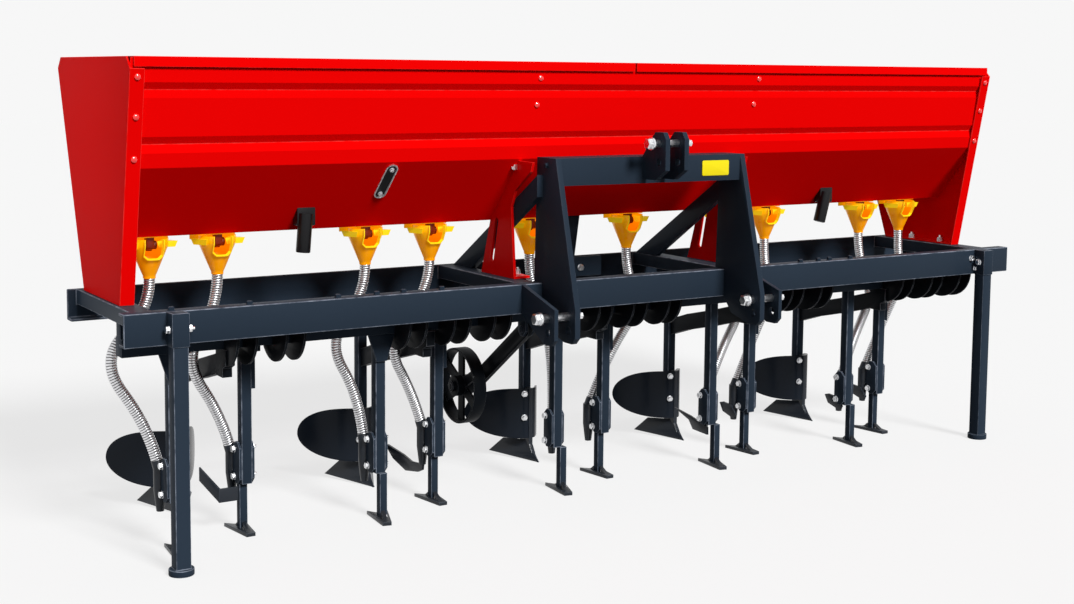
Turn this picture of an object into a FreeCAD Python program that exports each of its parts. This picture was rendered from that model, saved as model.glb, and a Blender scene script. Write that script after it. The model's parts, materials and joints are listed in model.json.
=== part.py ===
"""Row crop cultivator with a full-width fertiliser hopper: one STEP file per named piece.

Millimetres, +X to the right along the width, the hitch side faces -Y, +Z up, ground at Z = 0.
"""
import FreeCAD, Part
import math
import os

V = FreeCAD.Vector
os.makedirs("parts", exist_ok=True)

# ---- main frame -----------------------------------------------------------------------------
GROUND_TO_BEAM = 684.0          # underside of the frame above the ground
BEAM_HEIGHT = 100.0             # height of the folded front and rear beams
BEAM_SHEET = 8.0                # sheet thickness of the beams
BEAM_FLANGE = 50.0              # depth of the folded flanges
BEAM_LEFT = -1825.0             # left ends of the beams
BEAM_RIGHT = 1895.0             # right ends of the beams
FRAME_DEPTH = 600.0             # front face of the front beam to the face of the rear beam
CROSS_WIDTH = 70.0              # cross members, along X
CROSS_HEIGHT = 50.0             # cross members, along Z
CROSS_OUTER = 1760.0            # centre of the outer cross members
CROSS_INNER = 440.0             # centre of the inner cross members
TOOLBAR_DEPTH = 60.0            # tool bars, along Y
TOOLBAR_HEIGHT = 55.0           # tool bars, along Z
TOOLBAR_OVERHANG = 25.0         # tool bars beyond the centres of the outer cross members
REAR_BAR_SHORT = 70.0           # rear tool bar's left end, right of the outer cross member

# ---- three-point hitch (category II) --------------------------------------------------------
HITCH_SPAN = 870.0              # between the centres of the two lower clevises
HITCH_GAP = 66.0                # free width inside a lower clevis
LOWER_PIN_D = 28.0
LOWER_HOLE_PITCH = 48.0         # between the two pin holes of a lower clevis
MAST_HEIGHT = 610.0             # lower hole to the upper hole of the top ears
TOP_PIN_D = 25.4
TOP_HOLE_PITCH = 64.0
PIN_ABOVE_BEAM = 9.0            # upper clevis hole above the underside of the frame
LOWER_PIN_Y = -165.0
TOP_PIN_Y = -172.0
MAST_FRONT = -77.0              # front face of the uprights and of the cross bar
MAST_REAR = 37.0                # rear face of the same
UPRIGHT_SHEET = 20.0
OUTER_EAR_SHEET = 14.0
CROSSBAR_HEIGHT = 92.0
CROSSBAR_BELOW_PIN = 140.0      # underside of the cross bar below the top hole
TOP_EAR_SHEET = 18.0
TOP_EAR_GAP = 62.0
BRACE_SHEET = 22.0              # sloping bars outside the uprights

# ---- hopper ---------------------------------------------------------------------------------
HOPPER_HALF = 1785.0            # centre line to the outer face of an end panel
WALL_TOP = 1522.0               # upper edge of the trough
TROUGH_FLOOR = 974.0            # underside of the trough
PANEL_SHEET = 6.0
PANEL_FLANGE = 45.0
PANEL_CORNER = 35.0             # cut corners of the end panels
PANEL_BOTTOM_FRONT = 168.0
PANEL_BOTTOM_REAR = 550.0
PANEL_TOP_FRONT = 30.0
PANEL_TOP_BEHIND = 38.0         # end panels behind the rear wall
WALL_SHEET = 5.0
REAR_WALL_Y = 772.0
FLOOR_FRONT = 290.0             # the trough's flat floor, front and rear edge
FLOOR_REAR = 390.0
LID_SHEET = 4.0
LID_GAP = 8.0
LID_LIP = 26.0                  # folded front edge of a lid
BRACKET_SHEET = 10.0
BRACKET_OFF_BRACE = (2.0, 61.0)  # left and right bracket beside the mast's sloping braces
BRACKET_BEFORE_PANEL = 40.0     # front of the brackets' feet before the foot of the end panels
BRACKET_BEFORE_FLOOR = 40.0     # rear of the same before the rear edge of the trough's floor
BRACKET_FOOT = 60.0             # reach of the feet to the right
BRACKET_FOOT_SHEET = 8.0
BRACKET_SLOT = 22.0

# ---- tillage tools --------------------------------------------------------------------------
ROW = 700.0                     # row spacing
FRONT_TINE_X = -223.0           # middle front-row tine
FRONT_TINE_Y = 185.0
REAR_TINE_X = 47.0              # middle rear-row tine
REAR_TINE_Y = 280.0
RIDGER_X = -64.0                # middle ridger
RIDGER_BEHIND = 55.0            # ridger shanks behind the frame
SHANK = 36.0                    # square shanks
LEG = 27.0                      # square legs of the tines
SHANK_END = 160.0               # lower end of the tine shanks
CLAMP_HEIGHT = 137.0
CLAMP_SHEET = 8.0
SWEEP_LENGTH = 150.0
SWEEP_TIP = 30.0
SWEEP_REAR = 70.0
SWEEP_SHEET = 12.0
SWEEP_RIDGE = 22.0
BOOT_D = 40.0
BOOT_TOP = 260.0
BOOT_STRAIGHT = 75.0
KNIFE_BAR = 45.0                # height of the outer side knife's bar
KNIFE_BAR_FOOT = 105.0          # its underside above the ground
KNIFE_ARM = 67.0                # its reach to the left before it bends back
KNIFE_SHEET = 8.0
BOOT_TAPER = 65.0
RIDGER_TOP = 560.0
RIDGER_FOOT = 100.0             # lower end of the ridger shanks
RIDGER_LEFT = 182.0             # reach of the left mouldboard sideways
RIDGER_RIGHT = 105.0            # reach of the right mouldboard sideways
WING_SWEEP = 175.0              # reach of both backwards
WING_TOP = 278.0
WING_FOOT = 60.0                # lower edge of the mouldboards at the frog
WING_SHEET = 6.0
SHARE_SHEET = 7.0
SHARE_NOSE = 110.0              # tip of a ridger share in front of its shank
SHARE_WIDTH = 196.0
SHARE_BEHIND = 104.0            # ends of its blades behind the shank's middle
FROG_SHEET = 16.0
FROG_FRONT = 70.0               # foot of the frog in front of the shank's middle
FROG_FACE = 50.0                # its upright face, in front of the same
FROG_FOOT = 14.0                # its underside above the ground
ARM_WIDTH = 32.0                # beams that carry the ridgers
ARM_LEFT = 8.0                  # their left face left of the ridger's centre

# ---- seed funnels and hoses -----------------------------------------------------------------
FUNNEL_X = (-1642.0, -1421.0, -901.0, -656.0, -249.0, 179.0, 632.0, 853.0, 1363.0, 1594.0)
FUNNEL_Y = 330.0
FUNNEL_HEIGHT = 133.0           # neck's mouth to the underside of the trough
FUNNEL_D = 120.0
FUNNEL_WALL = 4.0
NECK_D = 40.0
NECK_BORE = 30.0
NECK_LENGTH = 12.0
HOSE_D = 36.0
FIRST_RUN = 100.0               # straight down out of a funnel

# ---- parking stands -------------------------------------------------------------------------
STAND_X = (-1672.0, 1722.0)
STAND_LEG = 46.0
STAND_WALL = 2.6
STAND_CLEAR = 0.4
FOOT_D = 76.0
FOOT_SHEET = 20.0

# ---- ground wheel ---------------------------------------------------------------------------
WHEEL_X = -400.0
WHEEL_Y = 554.0
WHEEL_Z = 335.0
WHEEL_R = 140.0
WHEEL_WIDTH = 50.0
AXLE_D = 25.0
TRAIL_X = -346.0                # centre plane of the wheel's trailing arm
TRAIL_SHEET = 16.0
TRAIL_WIDTH = 60.0
PIVOT_Y = 190.0
PIVOT_BELOW_BAR = 34.0
RUNNING_CLEARANCE = 0.05

BEAM_TOP = GROUND_TO_BEAM + BEAM_HEIGHT
TOOLBAR_Z1 = GROUND_TO_BEAM
TOOLBAR_Z0 = TOOLBAR_Z1 - TOOLBAR_HEIGHT
REAR_BAR_Y = REAR_TINE_Y + 155.0
RIDGER_Y = FRAME_DEPTH + RIDGER_BEHIND
LOWER_PIN_Z = GROUND_TO_BEAM + PIN_ABOVE_BEAM
LOWER_HOLE_Z = LOWER_PIN_Z - LOWER_HOLE_PITCH
TOP_PIN_Z = LOWER_HOLE_Z + MAST_HEIGHT
CROSSBAR_Z0 = TOP_PIN_Z - CROSSBAR_BELOW_PIN
CROSSBAR_TOP = CROSSBAR_Z0 + CROSSBAR_HEIGHT
PIVOT_Z = TOOLBAR_Z0 - PIVOT_BELOW_BAR
TROUGH_HALF = HOPPER_HALF - PANEL_SHEET
FUNNEL_MOUTH = TROUGH_FLOOR - FUNNEL_HEIGHT
ROWS = range(-2, 3)


def box(x0, x1, y0, y1, z0, z1):
    return Part.makeBox(x1 - x0, y1 - y0, z1 - z0, V(x0, y0, z0))


def slab(x0, x1, y0, y1, z0, z1):
    """A box whose X limits may come in either order."""
    xs = sorted((x0, x1))
    return box(xs[0], xs[1], y0, y1, z0, z1)


def cyl(radius, length, base, axis):
    return Part.makeCylinder(radius, length, V(*base), V(*axis))


def prism(points, vec):
    wire = Part.makePolygon(points + [points[0]])
    return Part.Face(wire).extrude(vec)


def plate_yz(points, x0, x1):
    """A plate across X whose outline is given in (Y, Z)."""
    xs = sorted((x0, x1))
    return prism([V(xs[0], y, z) for y, z in points], V(xs[1] - xs[0], 0, 0))


def plate_xy(points, z0, z1):
    """A plate lying flat whose outline is given in (X, Y)."""
    return prism([V(x, y, z0) for x, y in points], V(0, 0, z1 - z0))


def plate_xz(points, y0, y1):
    """A plate across Y whose outline is given in (X, Z)."""
    return prism([V(x, y0, z) for x, z in points], V(0, y1 - y0, 0))


def obround_yz(a, b, width, x0, x1):
    """A plate across X with two round ends, centred on the (Y, Z) points a and b."""
    dy, dz = b[0] - a[0], b[1] - a[1]
    size = math.hypot(dy, dz)
    ny, nz = -dz / size * width / 2, dy / size * width / 2
    side = [(a[0] - ny, a[1] - nz), (b[0] - ny, b[1] - nz),
            (b[0] + ny, b[1] + nz), (a[0] + ny, a[1] + nz)]
    ends = [cyl(width / 2, x1 - x0, (x0, p[0], p[1]), (1, 0, 0)) for p in (a, b)]
    return fuse([plate_yz(side, x0, x1)] + ends)


def fuse(shapes):
    shapes = list(shapes)
    body = shapes[0]
    if len(shapes) > 1:
        body = body.fuse(shapes[1:])
    return body.removeSplitter()


PIECES = {}


def save(name, shape):
    """Keep a finished piece; all are written together at the end."""
    PIECES[name] = shape


def save_set(name, shapes):
    save(name, Part.makeCompound(list(shapes)))


def write_all():
    """Move the model so that the origin is on the ground under its middle, and write it."""
    whole = FreeCAD.BoundBox()
    for name, shape in PIECES.items():
        if not name.startswith("hose"):
            whole.add(shape.BoundBox)
    shift = V(-whole.Center.x, -whole.Center.y, -whole.ZMin)
    print("moved by", shift)
    for name, shape in PIECES.items():
        shape.translate(shift)
        shape.exportStep("parts/" + name + ".step")
        print(name, round(shape.Volume / 1e6, 3), "dm3", len(shape.Solids), "solids")


def band(points, thickness):
    """Closed outline of a strip of constant thickness along an open line of points."""
    left, right = [], []
    for i, (y, z) in enumerate(points):
        normals = []
        for j in (i - 1, i):
            if 0 <= j < len(points) - 1:
                dy = points[j + 1][0] - points[j][0]
                dz = points[j + 1][1] - points[j][1]
                size = math.hypot(dy, dz)
                normals.append((-dz / size, dy / size))
        ny = sum(n[0] for n in normals) / len(normals)
        nz = sum(n[1] for n in normals) / len(normals)
        scale = thickness / (ny * ny + nz * nz)
        left.append((y, z))
        right.append((y + ny * scale, z + nz * scale))
    return left + right[::-1]


# ---- frame ----------------------------------------------------------------------------------
CROSS_X = (-CROSS_OUTER, -CROSS_INNER, CROSS_INNER, CROSS_OUTER)


def folded_beam(face_y, inward):
    """Channel beam: the web stands on face_y and the flanges point along inward (+1 or -1)."""
    web = sorted((face_y, face_y + inward * BEAM_SHEET))
    flange = sorted((face_y, face_y + inward * BEAM_FLANGE))
    parts = [box(BEAM_LEFT, BEAM_RIGHT, web[0], web[1], GROUND_TO_BEAM, BEAM_TOP)]
    parts.append(box(BEAM_LEFT, BEAM_RIGHT, flange[0], flange[1],
                     GROUND_TO_BEAM, GROUND_TO_BEAM + BEAM_SHEET))
    if inward > 0:
        parts.append(box(BEAM_LEFT, BEAM_RIGHT, flange[0], flange[1],
                         BEAM_TOP - BEAM_SHEET, BEAM_TOP))
    return fuse(parts)


def cross_member(x):
    half = CROSS_WIDTH / 2
    return box(x - half, x + half, BEAM_SHEET, FRAME_DEPTH, BEAM_TOP - CROSS_HEIGHT, BEAM_TOP)


def tool_bar(left, y):
    """A tool bar under the frame with short hangers up to the cross members."""
    half = TOOLBAR_DEPTH / 2
    right = CROSS_OUTER + TOOLBAR_OVERHANG
    parts = [box(left, right, y - half, y + half, TOOLBAR_Z0, TOOLBAR_Z1)]
    for x in CROSS_X:
        if x > left:
            parts.append(box(x - 25, x + 25, y - 20, y + 20, TOOLBAR_Z1,
                             BEAM_TOP - CROSS_HEIGHT))
    return fuse(parts)


beams = [folded_beam(0.0, 1), folded_beam(FRAME_DEPTH + BEAM_SHEET, -1)]
save("frame", fuse(beams + [cross_member(x) for x in CROSS_X]))
save_set("tool_bars", [tool_bar(-CROSS_OUTER - TOOLBAR_OVERHANG, FRONT_TINE_Y),
                       tool_bar(-CROSS_OUTER + REAR_BAR_SHORT, REAR_BAR_Y)])

# ---- beams that carry the ridgers -----------------------------------------------------------
RIDGERS = [RIDGER_X + ROW * k for k in ROWS]
ARM_FRONT = FRONT_TINE_Y - 55.0
ARM_LINE = [(ARM_FRONT, 579.0), (222.0, 538.0), (366.0, 499.0), (530.0, 460.0),
            (RIDGER_Y - SHANK / 2, 426.0)]
ARM_DEPTH = 66.0


def unit_arm(x):
    """A bar from under the front tool bar down to the ridger, with its bolted seat."""
    upper = [(y, z + ARM_DEPTH) for y, z in ARM_LINE]
    x0 = x - ARM_LEFT
    bar = plate_yz(ARM_LINE + upper[::-1], x0, x0 + ARM_WIDTH)
    under = box(x0 - 20, x0 + ARM_WIDTH + 20, FRONT_TINE_Y - 100, FRONT_TINE_Y + 50,
                TOOLBAR_Z0, TOOLBAR_Z0 + 200)
    seat = box(x0, x0 + ARM_WIDTH, FRONT_TINE_Y - TOOLBAR_DEPTH / 2,
               FRONT_TINE_Y + TOOLBAR_DEPTH / 2, ARM_LINE[1][1], TOOLBAR_Z0)
    return fuse([bar.cut(under), seat])


unit_arms = [unit_arm(x) for x in RIDGERS]
save_set("unit_arms", unit_arms)

# half-round hanger plates in pairs under the frame
HANGER_R = 108.0
HANGER_Y = 150.0
HANGER_SHEET = 8.0
HANGER_X = (-1466.0, -1405.0, -1307.0, -1247.0, -878.0, -819.0, -714.0, -656.0, -561.0, -498.0,
            -137.0, -84.0, 10.0, 68.0, 167.0, 220.0, 752.0, 808.0, 900.0, 957.0,
            1337.0, 1396.0, 1501.0, 1559.0, 1661.0, 1720.0)


def hanger(x):
    disc = cyl(HANGER_R, HANGER_SHEET, (x, HANGER_Y, GROUND_TO_BEAM), (1, 0, 0))
    keep = box(x, x + HANGER_SHEET, HANGER_Y - HANGER_R, HANGER_Y + HANGER_R,
               GROUND_TO_BEAM - HANGER_R, GROUND_TO_BEAM)
    half = TOOLBAR_DEPTH / 2
    bar = box(x - 1, x + HANGER_SHEET + 1, FRONT_TINE_Y - half, FRONT_TINE_Y + half,
              TOOLBAR_Z0, TOOLBAR_Z1)
    plate = disc.common(keep).cut(bar)
    for arm in unit_arms:
        plate = plate.cut(arm)
    return plate


hangers = [hanger(x) for x in HANGER_X]
save_set("hanger_plates", hangers)

# ---- hitch ----------------------------------------------------------------------------------
EAR_INNER = HITCH_SPAN / 2 - HITCH_GAP / 2
EAR_OUTER = HITCH_SPAN / 2 + HITCH_GAP / 2
EAR_FRONT = LOWER_PIN_Y - 40.0
EAR_LOW = LOWER_HOLE_Z - 42.0


def pin_holes(body, y, zs, diameter, xs):
    for z in zs:
        body = body.cut(cyl(diameter / 2, xs[1] - xs[0] + 2, (xs[0] - 1, y, z), (1, 0, 0)))
    return body


def upright(side):
    outline = [(MAST_REAR, CROSSBAR_TOP), (MAST_FRONT, CROSSBAR_TOP),
               (EAR_FRONT, LOWER_PIN_Z + 22), (EAR_FRONT, EAR_LOW + 20),
               (EAR_FRONT + 20, EAR_LOW), (LOWER_PIN_Y + 25, EAR_LOW),
               (-45, GROUND_TO_BEAM - 54), (0, GROUND_TO_BEAM), (0, BEAM_TOP),
               (BEAM_FLANGE, BEAM_TOP)]
    xs = sorted((side * EAR_INNER, side * (EAR_INNER - UPRIGHT_SHEET)))
    body = plate_yz(outline, xs[0], xs[1])
    return pin_holes(body, LOWER_PIN_Y, (LOWER_PIN_Z, LOWER_HOLE_Z), LOWER_PIN_D, xs)


def outer_ear(side):
    outline = [(0, BEAM_TOP), (EAR_FRONT, LOWER_PIN_Z + 31), (EAR_FRONT, EAR_LOW + 20),
               (EAR_FRONT + 20, EAR_LOW), (LOWER_PIN_Y + 25, EAR_LOW), (0, GROUND_TO_BEAM)]
    xs = sorted((side * EAR_OUTER, side * (EAR_OUTER + OUTER_EAR_SHEET)))
    body = plate_yz(outline, xs[0], xs[1])
    return pin_holes(body, LOWER_PIN_Y, (LOWER_PIN_Z, LOWER_HOLE_Z), LOWER_PIN_D, xs)


def top_ear(side):
    foot = CROSSBAR_Z0 + 15
    low = TOP_PIN_Z - TOP_HOLE_PITCH - 26
    outline = [(MAST_FRONT, foot), (TOP_PIN_Y + 22, foot), (TOP_PIN_Y - 38, low),
               (TOP_PIN_Y - 38, TOP_PIN_Z + 15), (TOP_PIN_Y - 22, TOP_PIN_Z + 38),
               (TOP_PIN_Y + 22, TOP_PIN_Z + 38), (TOP_PIN_Y + 40, TOP_PIN_Z + 20),
               (MAST_FRONT, CROSSBAR_TOP)]
    xs = sorted((side * TOP_EAR_GAP / 2, side * (TOP_EAR_GAP / 2 + TOP_EAR_SHEET)))
    body = plate_yz(outline, xs[0], xs[1])
    return pin_holes(body, TOP_PIN_Y, (TOP_PIN_Z, TOP_PIN_Z - TOP_HOLE_PITCH), TOP_PIN_D, xs)


def brace(side):
    """Sloping bar outside an upright, down to the cross member, clear below the trough."""
    drop = (CROSSBAR_Z0 + 34 - BEAM_TOP) * 1.53
    outline = [(0, CROSSBAR_Z0 + 34), (MAST_REAR, CROSSBAR_Z0 + 10),
               (MAST_REAR + drop - 18, BEAM_TOP), (drop - 113, BEAM_TOP), (0, CROSSBAR_Z0 - 40)]
    return plate_yz(outline, side * EAR_INNER, side * (EAR_INNER + BRACE_SHEET))


def mast():
    inner = EAR_INNER - UPRIGHT_SHEET
    parts = [box(-inner, inner, MAST_FRONT, MAST_REAR, CROSSBAR_Z0, CROSSBAR_TOP)]
    for side in (-1, 1):
        parts += [upright(side), outer_ear(side), top_ear(side), brace(side)]
    return fuse(parts)


def hitch_pin(x, y, z, diameter, length):
    """A pin across a clevis with its head on the left."""
    rod = cyl(diameter / 2, length, (x - length / 2, y, z), (1, 0, 0))
    head = cyl(diameter / 2 + 8, 8, (x - length / 2 - 8, y, z), (1, 0, 0))
    return fuse([rod, head])


pins = [hitch_pin(side * HITCH_SPAN / 2, LOWER_PIN_Y, LOWER_PIN_Z, LOWER_PIN_D, HITCH_GAP + 84)
        for side in (-1, 1)]
pins.append(hitch_pin(0, TOP_PIN_Y, TOP_PIN_Z, TOP_PIN_D, TOP_EAR_GAP + 2 * TOP_EAR_SHEET + 52))
save("hitch_mast", mast())
save_set("hitch_pins", pins)
save("sign_plate", box(210, 330, MAST_FRONT - 3, MAST_FRONT, CROSSBAR_Z0 + 18, CROSSBAR_Z0 + 72))

# ---- hopper ---------------------------------------------------------------------------------
PANEL_TOP = WALL_TOP + LID_SHEET
PANEL_TOP_REAR = REAR_WALL_Y + PANEL_TOP_BEHIND


def end_panel(side):
    """Flat end of the hopper on the frame, with a folded flange along both sloping edges."""
    low = PANEL_TOP - PANEL_CORNER
    outline = [(PANEL_BOTTOM_FRONT, BEAM_TOP), (PANEL_BOTTOM_REAR, BEAM_TOP),
               (PANEL_TOP_REAR, low), (PANEL_TOP_REAR - PANEL_CORNER, PANEL_TOP),
               (PANEL_TOP_FRONT + PANEL_CORNER, PANEL_TOP), (PANEL_TOP_FRONT, low)]
    outer = side * HOPPER_HALF
    inner = side * (HOPPER_HALF - PANEL_FLANGE)
    front = [(PANEL_BOTTOM_FRONT, BEAM_TOP), (PANEL_BOTTOM_FRONT + PANEL_SHEET, BEAM_TOP),
             (PANEL_TOP_FRONT + PANEL_SHEET, low), (PANEL_TOP_FRONT, low)]
    rear = [(PANEL_BOTTOM_REAR - PANEL_SHEET, BEAM_TOP), (PANEL_BOTTOM_REAR, BEAM_TOP),
            (PANEL_TOP_REAR, low), (PANEL_TOP_REAR - PANEL_SHEET, low)]
    foot = slab(outer, inner, PANEL_BOTTOM_FRONT, PANEL_BOTTOM_REAR, BEAM_TOP,
                BEAM_TOP + PANEL_SHEET)
    return fuse([plate_yz(outline, outer, side * TROUGH_HALF), plate_yz(front, outer, inner),
                 plate_yz(rear, outer, inner), foot])


# the trough's section: Y and the distance below the upper edge
FRONT_WALL = [(42.0, 0.0), (48.0, 71.0), (62.0, 92.0), (60.0, 117.0), (77.0, 231.0),
              (92.0, 253.0), (87.0, 280.0), (96.0, 324.0)]
REAR_WALL = [(700.0, 192.0), (REAR_WALL_Y, 72.0), (REAR_WALL_Y, 0.0)]
PARTITION_DROP = 82.0
PARTITION_SHEET = 4.0


def trough():
    line = [(y, WALL_TOP - drop) for y, drop in FRONT_WALL]
    line += [(FLOOR_FRONT, TROUGH_FLOOR), (FLOOR_REAR, TROUGH_FLOOR)]
    line += [(y, WALL_TOP - drop) for y, drop in REAR_WALL]
    section = band(line, WALL_SHEET)
    shell = plate_yz(section, -TROUGH_HALF, TROUGH_HALF)
    above = box(-HOPPER_HALF, HOPPER_HALF, 0, PANEL_TOP_REAR, WALL_TOP, WALL_TOP + 50)
    low = [p for p in section[len(line):] if p[1] < WALL_TOP - PARTITION_DROP]
    parts = [shell.cut(above)]
    for x in (-CROSS_INNER, CROSS_INNER):
        parts.append(plate_yz(low, x - PARTITION_SHEET / 2, x + PARTITION_SHEET / 2))
    return fuse(parts)


save_set("hopper_panels", [end_panel(-1), end_panel(1)])
save("hopper_trough", trough())

HINGE_Y = REAR_WALL_Y + 20.0
HINGE_Z = WALL_TOP - 14.0
HINGE_ROD_D = 10.0
HINGE_OUTER_D = 20.0
KNUCKLE = 60.0
LID_SEAT = 0.3
LIP_Y = FRONT_WALL[0][0] - 8.0
LIDS = ((-TROUGH_HALF + LID_GAP, -LID_GAP / 2), (LID_GAP / 2, TROUGH_HALF - LID_GAP))


def hinge_places(x0, x1):
    """Left ends of the three hinge knuckles of one lid."""
    span = x1 - x0
    return [x0 + span * t - KNUCKLE / 2 for t in (0.12, 0.5, 0.88)]


def lid(x0, x1):
    z0 = WALL_TOP + LID_SEAT
    parts = [box(x0, x1, LIP_Y, HINGE_Y, z0, z0 + LID_SHEET),
             box(x0, x1, LIP_Y, LIP_Y + LID_SHEET, WALL_TOP - LID_LIP, z0 + LID_SHEET)]
    for x in hinge_places(x0, x1):
        tube = cyl(HINGE_OUTER_D / 2, KNUCKLE, (x, HINGE_Y, HINGE_Z), (1, 0, 0))
        strap = box(x, x + KNUCKLE, HINGE_Y - 2, HINGE_Y + HINGE_OUTER_D / 2 - 4, HINGE_Z + 7,
                    z0 + LID_SHEET)
        parts += [tube, strap]
    body = fuse(parts)
    for x in hinge_places(x0, x1):
        body = body.cut(cyl(HINGE_ROD_D / 2 + RUNNING_CLEARANCE, KNUCKLE + 2,
                            (x - 1, HINGE_Y, HINGE_Z), (1, 0, 0)))
    return body


def hinge_rod(x):
    """A rod one lid knuckle turns on, on two tabs that stand out from the rear wall."""
    start = x - 18
    parts = [cyl(HINGE_ROD_D / 2, KNUCKLE + 36, (start, HINGE_Y, HINGE_Z), (1, 0, 0))]
    for tx in (start, x + KNUCKLE + 10):
        parts.append(box(tx, tx + 8, REAR_WALL_Y, HINGE_Y + 6, HINGE_Z - 8, HINGE_Z + 6))
    return fuse(parts)


save("lid_left", lid(*LIDS[0]))
save("lid_right", lid(*LIDS[1]))
save_set("lid_hinges", [hinge_rod(x) for x0, x1 in LIDS for x in hinge_places(x0, x1)])

SLOPE_TOP = (FRONT_WALL[-1][0], WALL_TOP - FRONT_WALL[-1][1])


def on_slope(t):
    """A point on the outside of the trough's sloping front, from its top (0) to the floor (1)."""
    return (SLOPE_TOP[0] + (FLOOR_FRONT - SLOPE_TOP[0]) * t,
            SLOPE_TOP[1] + (TROUGH_FLOOR - SLOPE_TOP[1]) * t)


def hopper_bracket(x):
    """Slotted red plate between the sloping front of the trough and the frame."""
    half = BRACKET_SHEET / 2
    front = PANEL_BOTTOM_FRONT - BRACKET_BEFORE_PANEL
    rear = FLOOR_REAR - BRACKET_BEFORE_FLOOR
    ty, tz = SLOPE_TOP
    outline = [on_slope(0.03), on_slope(1.0), (rear, BEAM_TOP), (front, BEAM_TOP),
               (front + 22, tz - 167), (front - 3, tz - 110), (ty - 71, tz - 40),
               (ty - 84, tz - 8)]
    web = plate_yz(outline, x - half, x + half)
    rise = TROUGH_FLOOR - BEAM_TOP
    slot = obround_yz((FLOOR_FRONT - 44, TROUGH_FLOOR), (FLOOR_FRONT - 14, BEAM_TOP + 0.3 * rise),
                      BRACKET_SLOT, x - half - 1, x + half + 1)
    foot = box(x - half, x + BRACKET_FOOT, front, rear, BEAM_TOP, BEAM_TOP + BRACKET_FOOT_SHEET)
    return fuse([web.cut(slot), foot])


BRACE_OUTER = EAR_INNER + BRACE_SHEET + BRACKET_SHEET / 2
BRACKET_X = (-BRACE_OUTER - BRACKET_OFF_BRACE[0], BRACE_OUTER + BRACKET_OFF_BRACE[1])
save_set("hopper_brackets", [hopper_bracket(x) for x in BRACKET_X])


# ---- funnels --------------------------------------------------------------------------------
def funnel(x):
    """Plastic metering cup: a cone open at the front above a round neck, on two ears."""
    z0 = FUNNEL_MOUTH + NECK_LENGTH
    rim = TROUGH_FLOOR - 3
    bore, neck, top = NECK_BORE / 2, NECK_D / 2, FUNNEL_D / 2
    profile = [(bore, FUNNEL_MOUTH), (neck, FUNNEL_MOUTH), (neck, z0), (top, rim),
               (top - FUNNEL_WALL, rim), (bore, z0)]
    points = [V(x, FUNNEL_Y + r, z) for r, z in profile]
    face = Part.Face(Part.makePolygon(points + [points[0]]))
    cup = face.revolve(V(x, FUNNEL_Y, 0), V(0, 0, 1), 360)
    window = box(x - 38, x + 38, FUNNEL_Y - FUNNEL_D, FUNNEL_Y - 4, rim - 55, rim + 5)
    ears = box(x - 75, x + 75, FUNNEL_Y + 40, FUNNEL_Y + 46, rim - 20, TROUGH_FLOOR)
    return fuse([cup.cut(window), ears])


save_set("funnels", [funnel(x) for x in FUNNEL_X])

# plate under the trough that carries the metering drive
drive = [(-78, TROUGH_FLOOR), (-25, TROUGH_FLOOR), (-48, BEAM_TOP + 20), (-75, BEAM_TOP + 20)]
save("drive_plate", plate_xz(drive, FUNNEL_Y + 10, FUNNEL_Y + 20))

# ---- tines ----------------------------------------------------------------------------------
FRONT_TINES = [(FRONT_TINE_X + ROW * k, FRONT_TINE_Y) for k in ROWS]
REAR_TINES = [(REAR_TINE_X + ROW * k, REAR_TINE_Y) for k in ROWS]
TINES = FRONT_TINES + REAR_TINES
CLAMP_Z1 = SHANK_END + CLAMP_HEIGHT
BOOT_BEHIND = SHANK / 2 + 20.0 + BOOT_D / 2 + 4.0
BOOT_LEFT = -22.0
BOOT_RIGHT = 25.0
COLLAR = 32.0
# the two points each hose bows through: X beside its funnel, Y, Z; X beside its boot, Y, Z
HOSE_BOW = (((-170, 305, 600), (-30, 275, 390)), ((-114, 330, 570), (-38, 340, 382)),
            ((-150, 305, 590), (-10, 275, 410)), ((-170, 320, 560), (-45, 335, 382)),
            ((60, 310, 600), (20, 275, 400)), ((85, 338, 630), (80, 341, 430)),
            ((105, 312, 575), (95, 275, 420)), ((50, 338, 600), (85, 341, 430)),
            ((88, 325, 575), (105, 275, 420)), ((40, 338, 620), (100, 341, 440)))


def is_front(y):
    return y < (FRONT_TINE_Y + REAR_TINE_Y) / 2


def hose_number(x, y):
    """Hoses are counted along X; front and rear tines take turns."""
    return 2 * round((x - (FRONT_TINE_X if is_front(y) else REAR_TINE_X)) / ROW) + (
        4 if is_front(y) else 5)


def boot_place(x, y):
    """Boots stand behind the left clamp plate, at the three right front tines behind the right."""
    side = BOOT_RIGHT if is_front(y) and x > FRONT_TINE_X - 1 else BOOT_LEFT
    return x + side, y + BOOT_BEHIND


def collar(x, y):
    """Root of a boot's collar and its direction, towards the hose's lower bow."""
    bx, by = boot_place(x, y)
    root = V(bx, by, BOOT_TOP - 10)
    dx, hy, hz = HOSE_BOW[hose_number(x, y)][1]
    return root, (V(bx + dx, hy, hz) - root).normalize()


def shank(x, y):
    half = SHANK / 2
    return box(x - half, x + half, y - half, y + half, SHANK_END, TOOLBAR_Z0)


def leg_place(x, y):
    """Legs stand off the centre of their shank, the right front ones furthest."""
    if not is_front(y):
        return x - 6.0, y + 14.0
    return x + (9.0 if x < FRONT_TINE_X - 1 else 22.0), y - 8.0


def leg(x, y):
    half = LEG / 2
    lx, ly = leg_place(x, y)
    return box(lx - half, lx + half, ly - half, ly + half, SWEEP_SHEET, SHANK_END)


def boot(x, y):
    """Seed boot: a tube with a tapered end and a collar turned towards its hose."""
    bx, by = boot_place(x, y)
    radius = BOOT_D / 2
    z1 = BOOT_TOP - BOOT_STRAIGHT
    tube = cyl(radius, BOOT_STRAIGHT, (bx, by, z1), (0, 0, 1))
    tip = Part.makeCone(0.6 * radius, radius, BOOT_TAPER, V(bx, by, z1 - BOOT_TAPER))
    root, way = collar(x, y)
    return fuse([tube, tip, Part.makeCylinder(0.95 * radius, COLLAR, root, way)])


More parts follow.
